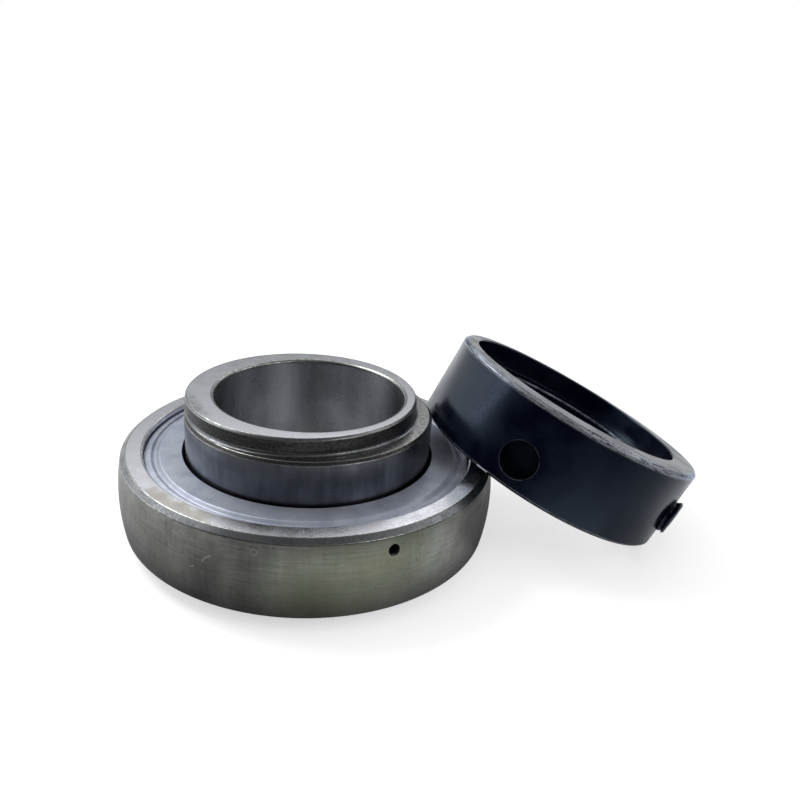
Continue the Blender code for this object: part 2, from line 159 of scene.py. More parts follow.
# Geometry Nodes tree that spins an outline about Z, with one material for each finish
def turningTree(materials):
    tree, source = startGroup("turnedRing", (("Turn Steps", "Int"),))
    count = addNode(tree, "GeometryNodeAttributeDomainSize",
                    inputs={"Geometry": source["Geometry"]}).outputs["Point Count"]
    rows = addNode(tree, "ShaderNodeMath", {"operation": 'ADD'}, {0: count, 1: 1.0}).outputs[0]
    columns = addNode(tree, "ShaderNodeMath", {"operation": 'ADD'},
                      {0: source["Turn Steps"], 1: 1.0}).outputs[0]
    grid = addNode(tree, "GeometryNodeMeshGrid", inputs={"Vertices X": columns, "Vertices Y": rows})
    index = addNode(tree, "GeometryNodeInputIndex").outputs[0]
    row = addNode(tree, "ShaderNodeMath", {"operation": 'MODULO'}, {0: index, 1: rows}).outputs[0]
    outlineRow = addNode(tree, "ShaderNodeMath", {"operation": 'MODULO'}, {0: row, 1: count}).outputs[0]
    share = addNode(tree, "ShaderNodeMath", {"operation": 'DIVIDE'}, {0: index, 1: rows}).outputs[0]
    column = addNode(tree, "ShaderNodeMath", {"operation": 'FLOOR'}, {0: share}).outputs[0]
    turn = addNode(tree, "ShaderNodeMath", {"operation": 'DIVIDE'},
                   {0: column, 1: source["Turn Steps"]}).outputs[0]
    angle = addNode(tree, "ShaderNodeMath", {"operation": 'MULTIPLY'},
                    {0: turn, 1: math.tau}).outputs[0]
    point = addNode(tree, "GeometryNodeSampleIndex", {"data_type": 'FLOAT_VECTOR', "domain": 'POINT'},
                    {"Geometry": source["Geometry"], "Index": outlineRow,
                     "Value": addNode(tree, "GeometryNodeInputPosition").outputs[0]})
    spun = addNode(tree, "ShaderNodeVectorRotate", {"rotation_type": 'Z_AXIS'},
                   {"Vector": point.outputs[0], "Angle": angle})
    placed = addNode(tree, "GeometryNodeSetPosition",
                     inputs={"Geometry": grid.outputs["Mesh"], "Position": spun.outputs[0]})
    finish = addNode(tree, "GeometryNodeInputNamedAttribute", {"data_type": 'INT'}, {"Name": "finish"})
    faceRow = addNode(tree, "ShaderNodeMath", {"operation": 'MODULO'}, {0: index, 1: count}).outputs[0]
    faceFinish = addNode(tree, "GeometryNodeSampleIndex", {"data_type": 'INT', "domain": 'POINT'},
                         {"Geometry": source["Geometry"], "Index": faceRow,
                          "Value": finish.outputs["Attribute"]})
    stored = addNode(tree, "GeometryNodeStoreNamedAttribute", {"data_type": 'INT', "domain": 'FACE'},
                     {"Geometry": placed.outputs[0], "Name": "finish", "Value": faceFinish.outputs[0]})
    merged = addNode(tree, "GeometryNodeMergeByDistance",
                     inputs={"Geometry": stored.outputs[0], "Distance": 0.0005 * mm})
    shaded = addNode(tree, "GeometryNodeSetShadeSmooth", inputs={"Geometry": merged.outputs[0]})
    last = addNode(tree, "GeometryNodeRealizeInstances",
                   inputs={"Geometry": shaded.outputs[0]}).outputs[0]
    for number, material in enumerate(materials):
        same = addNode(tree, "FunctionNodeCompare", {"data_type": 'INT', "operation": 'EQUAL'},
                       {"A": finish.outputs["Attribute"]})
        same.inputs[3].default_value = number
        last = addNode(tree, "GeometryNodeSetMaterial",
                       inputs={"Geometry": last, "Selection": same.outputs[0],
                               "Material": material}).outputs[0]
    addNode(tree, "NodeGroupOutput", inputs={0: last})
    return tree


# Geometry Nodes tree that sets copies of a piece on a circle about Z
def circleTree(material):
    tree, source = startGroup("piecesOnCircle",
                              (("Count", "Int"), ("Circle Radius", "Float"), ("Height", "Float"),
                                                 ("First Turn", "Float"), ("Only", "Int")))
    circle = addNode(tree, "GeometryNodeMeshCircle",
                     inputs={"Vertices": source["Count"], "Radius": source["Circle Radius"]})
    lift = addNode(tree, "ShaderNodeCombineXYZ", inputs={"Z": source["Height"]})
    spin = addNode(tree, "ShaderNodeCombineXYZ", inputs={"Z": source["First Turn"]})
    turned = addNode(tree, "GeometryNodeTransform", inputs={"Geometry": circle.outputs[0],
                     "Translation": lift.outputs[0], "Rotation": spin.outputs[0]})
    index = addNode(tree, "GeometryNodeInputIndex").outputs[0]
    one = addNode(tree, "FunctionNodeCompare", {"data_type": 'INT', "operation": 'EQUAL'})
    tree.links.new(index, one.inputs[2])
    tree.links.new(source["Only"], one.inputs[3])
    every = addNode(tree, "FunctionNodeCompare", {"data_type": 'INT', "operation": 'LESS_THAN'})
    tree.links.new(source["Only"], every.inputs[2])
    chosen = addNode(tree, "FunctionNodeBooleanMath", {"operation": 'OR'},
                     {0: one.outputs[0], 1: every.outputs[0]})
    copies = addNode(tree, "GeometryNodeInstanceOnPoints",
                     inputs={"Points": turned.outputs[0], "Selection": chosen.outputs[0],
                             "Instance": source["Geometry"]})
    real = addNode(tree, "GeometryNodeRealizeInstances", inputs={"Geometry": copies.outputs[0]})
    painted = addNode(tree, "GeometryNodeSetMaterial",
                      inputs={"Geometry": real.outputs[0], "Material": material})
    addNode(tree, "NodeGroupOutput", inputs={0: painted.outputs[0]})
    return tree


# Geometry Nodes tree that cuts a screw thread into a turned shank along Z
thread = {"fadeIn": 0.6, "fadeOut": 0.4, "shankShare": 0.98}


def threadTree(material):
    tree, source = startGroup("screwThread",
                              (("Pitch", "Float"), ("Depth", "Float"), ("Start", "Float"),
                                              ("End", "Float"), ("Shank Radius", "Float")))
    place = addNode(tree, "GeometryNodeInputPosition").outputs[0]
    axes = addNode(tree, "ShaderNodeSeparateXYZ", inputs={0: place}).outputs
    angle = addNode(tree, "ShaderNodeMath", {"operation": 'ARCTAN2'},
                    {0: axes["Y"], 1: axes["X"]}).outputs[0]
    turn = addNode(tree, "ShaderNodeMath", {"operation": 'DIVIDE'}, {0: angle, 1: math.tau}).outputs[0]
    climb = addNode(tree, "ShaderNodeMath", {"operation": 'DIVIDE'},
                    {0: axes["Z"], 1: source["Pitch"]}).outputs[0]
    phase = addNode(tree, "ShaderNodeMath", {"operation": 'SUBTRACT'}, {0: climb, 1: turn}).outputs[0]
    groove = addNode(tree, "ShaderNodeMath", {"operation": 'PINGPONG'}, {0: phase, 1: 0.5}).outputs[0]
    depth = addNode(tree, "ShaderNodeMath", {"operation": 'MULTIPLY'},
                    {0: groove, 1: source["Depth"]}).outputs[0]
    twice = addNode(tree, "ShaderNodeMath", {"operation": 'MULTIPLY'}, {0: depth, 1: -2.0}).outputs[0]
    fadeIn = addNode(tree, "ShaderNodeMapRange", {"interpolation_type": 'SMOOTHSTEP'},
                     {"Value": axes["Z"], "From Min": source["Start"]})
    startEnd = addNode(tree, "ShaderNodeMath", {"operation": 'ADD'},
                       {0: source["Start"], 1: thread["fadeIn"] * mm})
    tree.links.new(startEnd.outputs[0], fadeIn.inputs["From Max"])
    fadeOut = addNode(tree, "ShaderNodeMapRange", {"interpolation_type": 'SMOOTHSTEP'},
                      {"Value": axes["Z"], "From Max": source["End"], "To Min": 1.0, "To Max": 0.0})
    endStart = addNode(tree, "ShaderNodeMath", {"operation": 'SUBTRACT'},
                       {0: source["End"], 1: thread["fadeOut"] * mm})
    tree.links.new(endStart.outputs[0], fadeOut.inputs["From Min"])
    flat = addNode(tree, "ShaderNodeCombineXYZ", inputs={"X": axes["X"], "Y": axes["Y"]})
    reach = addNode(tree, "ShaderNodeVectorMath", {"operation": 'LENGTH'}, {0: flat.outputs[0]})
    outer = addNode(tree, "ShaderNodeMath", {"operation": 'MULTIPLY'},
                    {0: source["Shank Radius"], 1: thread["shankShare"]}).outputs[0]
    onSide = addNode(tree, "ShaderNodeMath", {"operation": 'GREATER_THAN'},
                     {0: reach.outputs["Value"], 1: outer}).outputs[0]
    ends = addNode(tree, "ShaderNodeMath", {"operation": 'MULTIPLY'},
                   {0: fadeIn.outputs[0], 1: fadeOut.outputs[0]}).outputs[0]
    mask = addNode(tree, "ShaderNodeMath", {"operation": 'MULTIPLY'}, {0: ends, 1: onSide}).outputs[0]
    cut = addNode(tree, "ShaderNodeMath", {"operation": 'MULTIPLY'}, {0: twice, 1: mask}).outputs[0]
    outward = addNode(tree, "ShaderNodeVectorMath", {"operation": 'NORMALIZE'}, {0: flat.outputs[0]})
    move = addNode(tree, "ShaderNodeVectorMath", {"operation": 'SCALE'},
                   {0: outward.outputs[0], "Scale": cut})
    moved = addNode(tree, "GeometryNodeSetPosition",
                    inputs={"Geometry": source["Geometry"], "Offset": move.outputs[0]})
    real = addNode(tree, "GeometryNodeRealizeInstances", inputs={"Geometry": moved.outputs[0]})
    painted = addNode(tree, "GeometryNodeSetMaterial",
                      inputs={"Geometry": real.outputs[0], "Material": material})
    addNode(tree, "NodeGroupOutput", inputs={0: painted.outputs[0]})
    return tree


def addTree(obj, tree, values):
    modifier = obj.modifiers.new(tree.name, 'NODES')
    modifier.node_group = tree
    sockets = {s.name: s.identifier for s in tree.interface.items_tree if s.in_out == 'INPUT'}
    for name, value in values.items():
        modifier[sockets[name]] = value


# turns the evaluated piece into a plain closed mesh, with its faces outwards
def makePlain(obj):
    graph = bpy.context.evaluated_depsgraph_get()
    mesh = bpy.data.meshes.new_from_object(obj.evaluated_get(graph))
    obj.modifiers.clear()
    obj.data = mesh
    bm = bmesh.new()
    bm.from_mesh(mesh)
    bmesh.ops.remove_doubles(bm, verts=bm.verts, dist=weldGap)
    bmesh.ops.recalc_face_normals(bm, faces=bm.faces)
    bm.to_mesh(mesh)
    bm.free()


def finishPiece(obj, body, nodes):
    obj.data.shade_smooth()
    obj.data.set_sharp_from_angle(angle=creaseAngle)
    weighted = obj.modifiers.new("cleanShading", 'WEIGHTED_NORMAL')
    weighted.keep_sharp = True
    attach(obj, body)
    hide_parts(*nodes)
    print("made", obj.name, len(obj.data.polygons), "faces")


# a drill with a flared mouth, along an axis, with its mouth at the surface
def drill(name, material, mouth, axis, radius, depth, flare, overrun=3.0):
    outline = [(0.0, -depth, 0, 0.0), (radius, -depth, 0, 0.0), (radius, -flare, 0, 0.0),
               (radius + flare + overrun * 0.5, overrun * 0.5, 0, 0.0), (0.0, overrun * 0.5, 0, 0.0)]
    obj = outlineObject(name, outline)
    addTree(obj, turningTree([material]), {"Turn Steps": holeSteps})
    makePlain(obj)
    turn = Vector((0, 0, 1)).rotation_difference(axis).to_matrix().to_4x4()
    obj.data.transform(Matrix.Translation(mouth * mm) @ turn)
    return obj


def cutAway(obj, cutters):
    for cutter in cutters:
        boolean = obj.modifiers.new(cutter.name, 'BOOLEAN')
        boolean.operation = 'DIFFERENCE'
        boolean.solver = 'EXACT'
        boolean.material_mode = 'TRANSFER'
        boolean.object = cutter
    makePlain(obj)
    for cutter in cutters:
        bpy.data.objects.remove(cutter, do_unlink=True)


def startMaterial(name):
    mat = bpy.data.materials.new(name)
    tree = emptyTree(mat)
    shader = addNode(tree, "ShaderNodeBsdfPrincipled")
    addNode(tree, "ShaderNodeOutputMaterial", inputs={"Surface": shader.outputs["BSDF"]})
    place = addNode(tree, "ShaderNodeTexCoord").outputs["Object"]
    return mat, tree, shader, place


# marks of several sizes in one value: a layer is (size in mm along x, y and z, weight)
def surfaceMarks(tree, place, layers):
    marks, total = None, 0.0
    for size, weight in layers:
        scaled = addNode(tree, "ShaderNodeMapping",
                         inputs={"Vector": place, "Scale": tuple(1 / (s * mm) for s in size)})
        noise = addNode(tree, "ShaderNodeTexNoise",
                        inputs={"Vector": scaled.outputs[0], "Scale": 1.0,
                                "Detail": 3.0}).outputs["Fac"]
        total += weight
        marks = noise if marks is None else addNode(
            tree, "ShaderNodeMix", {"data_type": 'FLOAT'},
            {0: weight / total, 2: marks, 3: noise}).outputs[0]
    return marks


# where the marks rise from one value to another
def marksBetween(tree, place, layers, low, high):
    marks = surfaceMarks(tree, place, layers)
    return addNode(tree, "ShaderNodeMapRange", {"interpolation_type": 'SMOOTHSTEP'},
                   {"Value": marks, "From Min": low, "From Max": high}).outputs[0]


# ragged line from one point to another, in mm; the same point twice makes a round patch
def lineMask(tree, place, start, end, width, wobble, softness=0.5):
    scaled = addNode(tree, "ShaderNodeVectorMath", {"operation": 'SCALE'},
                     {0: place, "Scale": 1 / mm}).outputs[0]
    bent = addNode(tree, "ShaderNodeTexNoise", inputs={"Vector": scaled, "Scale": 0.35, "Detail": 3.0})
    shift = addNode(tree, "ShaderNodeVectorMath", {"operation": 'MULTIPLY_ADD'},
                    {0: bent.outputs["Color"], 1: (wobble,) * 3, 2: scaled}).outputs[0]
    start = Vector(start) + Vector((wobble / 2,) * 3)
    side = Vector(end) - Vector(start) + Vector((wobble / 2,) * 3)
    away = addNode(tree, "ShaderNodeVectorMath", {"operation": 'SUBTRACT'},
                   {0: shift, 1: start}).outputs[0]
    along = addNode(tree, "ShaderNodeVectorMath", {"operation": 'DOT_PRODUCT'},
                    {0: away, 1: side / max(side.length_squared, 1e-6)}).outputs["Value"]
    share = addNode(tree, "ShaderNodeClamp", inputs={"Value": along}).outputs[0]
    nearest = addNode(tree, "ShaderNodeVectorMath", {"operation": 'SCALE'}, {0: side, "Scale": share})
    gap = addNode(tree, "ShaderNodeVectorMath", {"operation": 'DISTANCE'},
                  {0: away, 1: nearest.outputs[0]}).outputs["Value"]
    return addNode(tree, "ShaderNodeMapRange", {"interpolation_type": 'SMOOTHSTEP'},
                   {"Value": gap, "From Min": width * (1 - softness), "From Max": width,
                    "To Min": 1.0, "To Max": 0.0}).outputs[0]


# lays a tone over the steel where a mask is, as a stain, a scratch or an oil film does
def layOver(tree, shader, mask, strength, tone):
    under = shader.inputs["Base Color"].links[0].from_socket
    part = addNode(tree, "ShaderNodeMath", {"operation": 'MULTIPLY'}, {0: mask, 1: strength}).outputs[0]
    mixed = addNode(tree, "ShaderNodeMix", {"data_type": 'RGBA'},
                    {0: part, 6: under, 7: hexToLinear(tone)})
    tree.links.new(mixed.outputs[2], shader.inputs["Base Color"])


# a steel finish: its tone and its roughness follow its marks
def steelFinish(look):
    mat, tree, shader, place = startMaterial(look["name"])
    marks = surfaceMarks(tree, place, look["marks"])
    spread = addNode(tree, "ShaderNodeMapRange", {"interpolation_type": 'SMOOTHSTEP'},
                     {"Value": marks, "From Min": 0.5 - look["spread"],
                      "From Max": 0.5 + look["spread"]})
    tone = addNode(tree, "ShaderNodeMix", {"data_type": 'RGBA'},
                   {0: spread.outputs[0], 6: hexToLinear(look["dark"]), 7: hexToLinear(look["light"])})
    tree.links.new(tone.outputs[2], shader.inputs["Base Color"])
    rough = addNode(tree, "ShaderNodeMapRange",
                    inputs={"Value": spread.outputs[0], "To Min": look["rough"][1],
                            "To Max": look["rough"][0]})
    tree.links.new(rough.outputs[0], shader.inputs["Roughness"])
    shader.inputs["Metallic"].default_value = look.get("metal", 1.0)
    bump = addNode(tree, "ShaderNodeBump",
                   inputs={"Strength": look["bump"], "Distance": bumpDepth, "Height": marks})
    tree.links.new(bump.outputs[0], shader.inputs["Normal"])
    if "stretch" in look:                   # grinding lines draw reflections out along the axis
        shader.inputs["Anisotropic"].default_value = look["stretch"]
        axis = addNode(tree, "ShaderNodeCombineXYZ", inputs={"Z": 1.0}).outputs[0]
        tree.links.new(axis, shader.inputs["Tangent"])
    return mat, tree, shader, place


# ground bearing steel: satin, with short grinding lines round the outside and a faint olive oil film
groundLook = {"name": "ground bearing steel", "dark": "#868783", "light": "#B2B3AE", "spread": 0.17,
              "rough": (0.26, 0.38), "bump": 0.1, "stretch": 0.6,
              # lines round the axis, drawn coarser than grit, then blotches and bands along it
              "marks": [((9.0, 9.0, 0.3), 0.25), ((2.2, 2.2, 0.16), 0.2),
                        ((7.0, 7.0, 8.0), 0.4), ((0.9, 0.9, 12.0), 0.15)],
              "film": "#7E8368", "fleck": "#3B3C38", "smudge": "#4C4D49", "scratch": "#D5D6D2"}


def groundSteel():
    look = groundLook
    mat, tree, shader, place = steelFinish(look)
    film = lineMask(tree, place, (-2.0, -39.6, 9.0), (12.0, -38.0, 14.0), 15.0, 6.0, 1.0)
    layOver(tree, shader, film, 0.75, look["film"])
    flecks = marksBetween(tree, place, [((0.3, 0.3, 0.45), 1.0)], 0.66, 0.73)
    layOver(tree, shader, flecks, 0.8, look["fleck"])
    smudges = marksBetween(tree, place, [((0.5, 0.5, 3.0), 0.7), ((0.4, 0.4, 0.5), 0.3)], 0.53, 0.63)
    side = lineMask(tree, place, (-37.0, -12.0, 12.0), (-26.0, -29.0, 13.0), 11.0, 5.0, 0.9)
    smudged = addNode(tree, "ShaderNodeMath", {"operation": 'MULTIPLY'},
                      {0: side, 1: smudges}).outputs[0]
    layOver(tree, shader, smudged, 0.35, look["smudge"])
    layOver(tree, shader, lineMask(tree, place, (-22.8, -32.9, 10.6), (-19.1, -35.0, 14.2), 0.2, 1.6),
            0.8, look["scratch"])
    mark = (-11.65, -37.85, 16.6)
    outer, inner = (lineMask(tree, place, mark, mark, reach, 0.1, 0.3) for reach in (0.8, 0.55))
    ring = addNode(tree, "ShaderNodeMath", {"operation": 'SUBTRACT'}, {0: outer, 1: inner}).outputs[0]
    layOver(tree, shader, ring, 0.5, look["scratch"])
    return mat


# satin ground face: its pale tone is partly painted light, drawn much paler than the same steel
# elsewhere on the rings because these faces look up at the light; nearly even, with a brown stain where
# fingers left a damp mark
faceLitLook = {"name": "satin ground face steel with painted light", "dark": "#D0D1D6", "light": "#EEEFF4", "spread": 0.2,
            "rough": (0.18, 0.3), "bump": 0.06,
            "marks": [((0.5, 0.5, 0.5), 0.4), ((3.0, 3.0, 3.0), 0.6)],
            "stain": "#A39A84", "dull": "#6A6A63"}


def faceSteelLit():
    look = faceLitLook
    mat, tree, shader, place = steelFinish(look)
    stain = lineMask(tree, place, (-30.0, -22.5, 19.4), (-21.0, -31.0, 19.4), 3.2, 4.0, 0.9)
    layOver(tree, shader, stain, 0.6, look["stain"])
    specks = marksBetween(tree, place, [((0.22, 0.22, 0.22), 0.4), ((1.6, 1.6, 1.6), 0.6)], 0.36, 0.62)
    patch = lineMask(tree, place, (-25.4, -2.5, 30.7), (-21.4, -12.0, 30.7), 2.0, 2.0, 0.95)
    pitted = addNode(tree, "ShaderNodeMath", {"operation": 'MULTIPLY'},
                     {0: patch, 1: specks}).outputs[0]
    layOver(tree, shader, pitted, 0.7, look["dull"])
    return mat


# turned chamfer: a little darker and duller than the ground faces beside it
chamferLook = {"name": "turned chamfer steel", "dark": "#6C6E70", "light": "#97999B", "spread": 0.18,
               "rough": (0.26, 0.38), "bump": 0.1,
               "marks": [((0.5, 0.5, 0.5), 0.4), ((4.0, 4.0, 4.0), 0.6)]}

# ground outside of the inner ring: satin, its reflections drawn out into bands along the axis
neckLook = {"name": "ground neck steel", "dark": "#5A5D64", "light": "#7C7F86", "spread": 0.16,
            "rough": (0.2, 0.27), "bump": 0.03, "stretch": 0.92,
            "marks": [((12.0, 12.0, 0.25), 0.2), ((1.2, 1.2, 9.0), 0.3), ((6.0, 6.0, 9.0), 0.5)]}

# honed bore and raceways: brighter and smoother than the ground steel, with the same bands
boreLook = {"name": "honed bearing steel", "dark": "#A3A6AB", "light": "#C3C6CA", "spread": 0.2,
            "rough": (0.24, 0.3), "bump": 0.006, "stretch": 0.97,
            "marks": [((12.0, 12.0, 0.25), 0.15), ((6.0, 6.0, 9.0), 0.85)]}

# unground cam wall: turned and then hardened, so almost black and finely pitted; the same near-black
# steel lines the grease hole as painted shade
camLook = {"name": "hardened turned cam steel and painted hole shade", "dark": "#272728", "light": "#4C4B4A", "spread": 0.15,
           "rough": (0.3, 0.42), "bump": 0.2, "metal": 0.8,
           "marks": [((7.0, 7.0, 0.35), 0.3), ((0.35, 0.35, 0.3), 0.7)]}

# rounded edges that handling has polished: thin and bright
edgeLook = {"name": "rubbed steel edge", "dark": "#8B8C89", "light": "#AFB0AC", "spread": 0.14,
            "rough": (0.24, 0.36), "bump": 0.08, "marks": [((0.9, 0.9, 0.9), 1.0)]}

# zinc coated pressed sheet: bluish satin, which scatters more light than bare steel does
shieldLook = {"name": "zinc coated pressed sheet steel", "dark": "#A4AABA", "light": "#C0C5D2",
              "spread": 0.2, "rough": (0.4, 0.48), "bump": 0.06, "metal": 0.5,
              "marks": [((0.4, 0.4, 0.4), 0.25), ((4.0, 4.0, 4.0), 0.75)]}

# polished bearing balls: mirror bright, with the faintest haze
ballLook = {"name": "polished ball steel", "dark": "#BFC1C4", "light": "#D2D4D6", "spread": 0.2,
            "rough": (0.05, 0.11), "bump": 0.02, "marks": [((2.0, 2.0, 2.0), 1.0)]}

# pressed cage strip: cold rolled steel, slightly warm, with rolling marks
cageLook = {"name": "pressed cold rolled strip steel", "dark": "#A09C94", "light": "#C3BFB6",
            "spread": 0.16, "rough": (0.3, 0.42), "bump": 0.15, "marks": [((1.4, 1.4, 0.4), 1.0)]}


# moulded nitrile rubber: matt black with a fine moulded grain
rubberLook = {"dark": "#19191A", "light": "#262627", "rough": 0.62, "ior": 1.52, "pore": 0.25}


def sealRubber():
    mat, tree, shader, place = startMaterial("moulded nitrile rubber")
    pores = surfaceMarks(tree, place, [((rubberLook["pore"],) * 3, 1.0)])
    tone = addNode(tree, "ShaderNodeMix", {"data_type": 'RGBA'},
                   {0: pores, 6: hexToLinear(rubberLook["dark"]), 7: hexToLinear(rubberLook["light"])})
    tree.links.new(tone.outputs[2], shader.inputs["Base Color"])
    shader.inputs["IOR"].default_value = rubberLook["ior"]
    shader.inputs["Roughness"].default_value = rubberLook["rough"]
    bump = addNode(tree, "ShaderNodeBump",
                   inputs={"Strength": 0.3, "Distance": bumpDepth, "Height": pores})
    tree.links.new(bump.outputs[0], shader.inputs["Normal"])
    return mat


# oiled black oxide on turned steel: near black and glossy, rubbed to bare steel along its edges, with a
# painted highlight in the same bare-steel tone along the recess ledge
oxideLook = {"base": "#020413", "cloud": "#070B19", "worn": "#A9ACB2", "rough": (0.17, 0.27),
             "ior": 1.56, "sheen": (0.58, 0.76, 1.0, 1.0)}


def blackOxide(name, worn):
    mat, tree, shader, place = startMaterial(name)
    look = oxideLook
    local = addNode(tree, "ShaderNodeMapping", {"vector_type": 'TEXTURE'},
                    {"Vector": place, "Location": tuple(collarCentre * mm),
                     "Rotation": (0.0, collarTilt, 0.0)}).outputs[0]
    cloud = surfaceMarks(tree, local, [((0.5, 0.5, 0.4), 0.2), ((6.0, 6.0, 5.0), 0.8)])
    spread = addNode(tree, "ShaderNodeMapRange", {"interpolation_type": 'SMOOTHSTEP'},
                     {"Value": cloud, "From Min": 0.4, "From Max": 0.65}).outputs[0]
    tone = addNode(tree, "ShaderNodeMix", {"data_type": 'RGBA'},
                   {0: spread, 6: hexToLinear(look["base"]), 7: hexToLinear(look["cloud"])})
    tree.links.new(tone.outputs[2], shader.inputs["Base Color"])
    rough = addNode(tree, "ShaderNodeMapRange",
                    inputs={"Value": spread, "To Min": look["rough"][0],
                            "To Max": look["rough"][1]}).outputs[0]
    shader.inputs["IOR"].default_value = look["ior"]
    shader.inputs["Specular Tint"].default_value = look["sheen"]
    height = cloud
    if worn:
        bareAndHighlight, pitted, height, rough = collarWearAndPaintedLight(tree, local, cloud, rough)
        # the streak's bluish tone is painted sheen
        layOver(tree, shader, pitted, 0.6, wearAndHighlight["sheenStreak"])
        # the bare-steel tone also paints the highlight along the recess ledge
        layOver(tree, shader, bareAndHighlight, 1.0, look["worn"])
        metal = addNode(tree, "ShaderNodeMath", {"operation": 'MULTIPLY'}, {0: bareAndHighlight, 1: wearAndHighlight["metal"]})
        tree.links.new(metal.outputs[0], shader.inputs["Metallic"])
    tree.links.new(rough, shader.inputs["Roughness"])
    bump = addNode(tree, "ShaderNodeBump",
                   inputs={"Strength": 0.2, "Distance": 0.03 * mm, "Height": height})
    tree.links.new(bump.outputs[0], shader.inputs["Normal"])
    return mat


# where the collar is rubbed bare: scored round the rim's chamfer, fainter on its other edges; the line
# round the recess ledge is a painted highlight, and the streak's bluish tone a painted sheen
wearAndHighlight = {"rimFull": 0.45, "rimEnd": 1.15, "edgeLine": 0.16, "edgeShare": 0.5, "ledgeHighlightLine": 0.7,
        "ledgeHighlightShare": 0.5, "holeLine": 0.12, "holeShare": 0.12, "sheenStreak": "#5A6080", "metal": 0.6}


def collarWearAndPaintedLight(tree, local, cloud, rough):
    axes = addNode(tree, "ShaderNodeSeparateXYZ", inputs={0: local}).outputs
    flat = addNode(tree, "ShaderNodeVectorMath", {"operation": 'MULTIPLY'},
                   {0: local, 1: (1.0, 1.0, 0.0)})
    reach = addNode(tree, "ShaderNodeVectorMath", {"operation": 'LENGTH'},
                    {0: flat.outputs[0]}).outputs["Value"]
    turn = addNode(tree, "ShaderNodeMath", {"operation": 'ARCTAN2'},
                   {0: axes["Y"], 1: axes["X"]}).outputs[0]
    around = addNode(tree, "ShaderNodeMath", {"operation": 'MULTIPLY'},
                     {0: turn, 1: collarR * mm}).outputs[0]
    section = addNode(tree, "ShaderNodeCombineXYZ", inputs={"X": reach, "Y": axes["Z"]}).outputs[0]
    unrolled = addNode(tree, "ShaderNodeCombineXYZ",
                       inputs={"X": reach, "Y": axes["Z"], "Z": around}).outputs[0]
    chamfer, top = collar["chamfer"], collar["width"]
    middle = ((collarR - chamfer / 2) * mm, (top - chamfer / 2) * mm, 0.0)
    gap = addNode(tree, "ShaderNodeVectorMath", {"operation": 'DISTANCE'},
                  {0: section, 1: middle}).outputs["Value"]
    zone = addNode(tree, "ShaderNodeMapRange", {"interpolation_type": 'SMOOTHSTEP'},
                   {"Value": gap, "From Min": wearAndHighlight["rimFull"] * mm, "From Max": wearAndHighlight["rimEnd"] * mm,
                    "To Min": 1.0, "To Max": 0.0}).outputs[0]
    scored = marksBetween(tree, unrolled, [((0.2, 0.2, 3.0), 0.6), ((0.3, 0.3, 0.4), 0.4)], 0.41, 0.53)
    rim = addNode(tree, "ShaderNodeMath", {"operation": 'MULTIPLY'}, {0: zone, 1: scored}).outputs[0]
    bareAndHighlight = 0.0
    # the outside edge line is wear; the ledge line where the bore meets the recess floor is a painted
    # highlight
    for r, z, width, share in ((collarR, chamfer, wearAndHighlight["edgeLine"], wearAndHighlight["edgeShare"]),
                               (collarBoreR, recessFloor, wearAndHighlight["ledgeHighlightLine"], wearAndHighlight["ledgeHighlightShare"])):
        gap = addNode(tree, "ShaderNodeVectorMath", {"operation": 'DISTANCE'},
                      {0: section, 1: (r * mm, z * mm, 0.0)}).outputs["Value"]
        near = addNode(tree, "ShaderNodeMapRange", {"interpolation_type": 'SMOOTHSTEP'},
                       {"Value": gap, "From Max": width * mm, "To Min": share,
                        "To Max": 0.0}).outputs[0]
        bareAndHighlight = addNode(tree, "ShaderNodeMath", {"operation": 'MAXIMUM'}, {0: bareAndHighlight, 1: near}).outputs[0]
    a = math.radians(collar["driftHoleTurn"])
    across = addNode(tree, "ShaderNodeVectorMath", {"operation": 'DOT_PRODUCT'},
                     {0: local, 1: (-math.sin(a), math.cos(a), 0.0)}).outputs["Value"]
    hole = addNode(tree, "ShaderNodeCombineXYZ", inputs={"X": across, "Y": axes["Z"]}).outputs[0]
    holeZ = recessFloor / 2 + collar["driftHoleLift"]
    gap = addNode(tree, "ShaderNodeVectorMath", {"operation": 'DISTANCE'},
                  {0: hole, 1: (0.0, holeZ * mm, 0.0)}).outputs["Value"]
    gap = addNode(tree, "ShaderNodeMath", {"operation": 'SUBTRACT'},
                  {0: gap, 1: (collar["driftHoleD"] / 2 + 0.06) * mm}).outputs[0]
    gap = addNode(tree, "ShaderNodeMath", {"operation": 'ABSOLUTE'}, {0: gap}).outputs[0]
    mouth = addNode(tree, "ShaderNodeMapRange", {"interpolation_type": 'SMOOTHSTEP'},
                    {"Value": gap, "From Max": wearAndHighlight["holeLine"] * mm,
                     "To Min": wearAndHighlight["holeShare"], "To Max": 0.0}).outputs[0]
    outside = addNode(tree, "ShaderNodeMath", {"operation": 'GREATER_THAN'},
                      {0: reach, 1: (collarR - 0.5) * mm}).outputs[0]
    mouth = addNode(tree, "ShaderNodeMath", {"operation": 'MULTIPLY'},
                    {0: mouth, 1: outside}).outputs[0]
    bareAndHighlight = addNode(tree, "ShaderNodeMath", {"operation": 'MAXIMUM'}, {0: bareAndHighlight, 1: mouth}).outputs[0]
    broken = marksBetween(tree, local, [((1.8, 1.8, 1.8), 0.6), ((0.5, 0.5, 0.5), 0.4)], 0.36, 0.56)
    bareAndHighlight = addNode(tree, "ShaderNodeMath", {"operation": 'MULTIPLY'}, {0: bareAndHighlight, 1: broken}).outputs[0]
    bareAndHighlight = addNode(tree, "ShaderNodeMath", {"operation": 'MAXIMUM'}, {0: bareAndHighlight, 1: rim}).outputs[0]
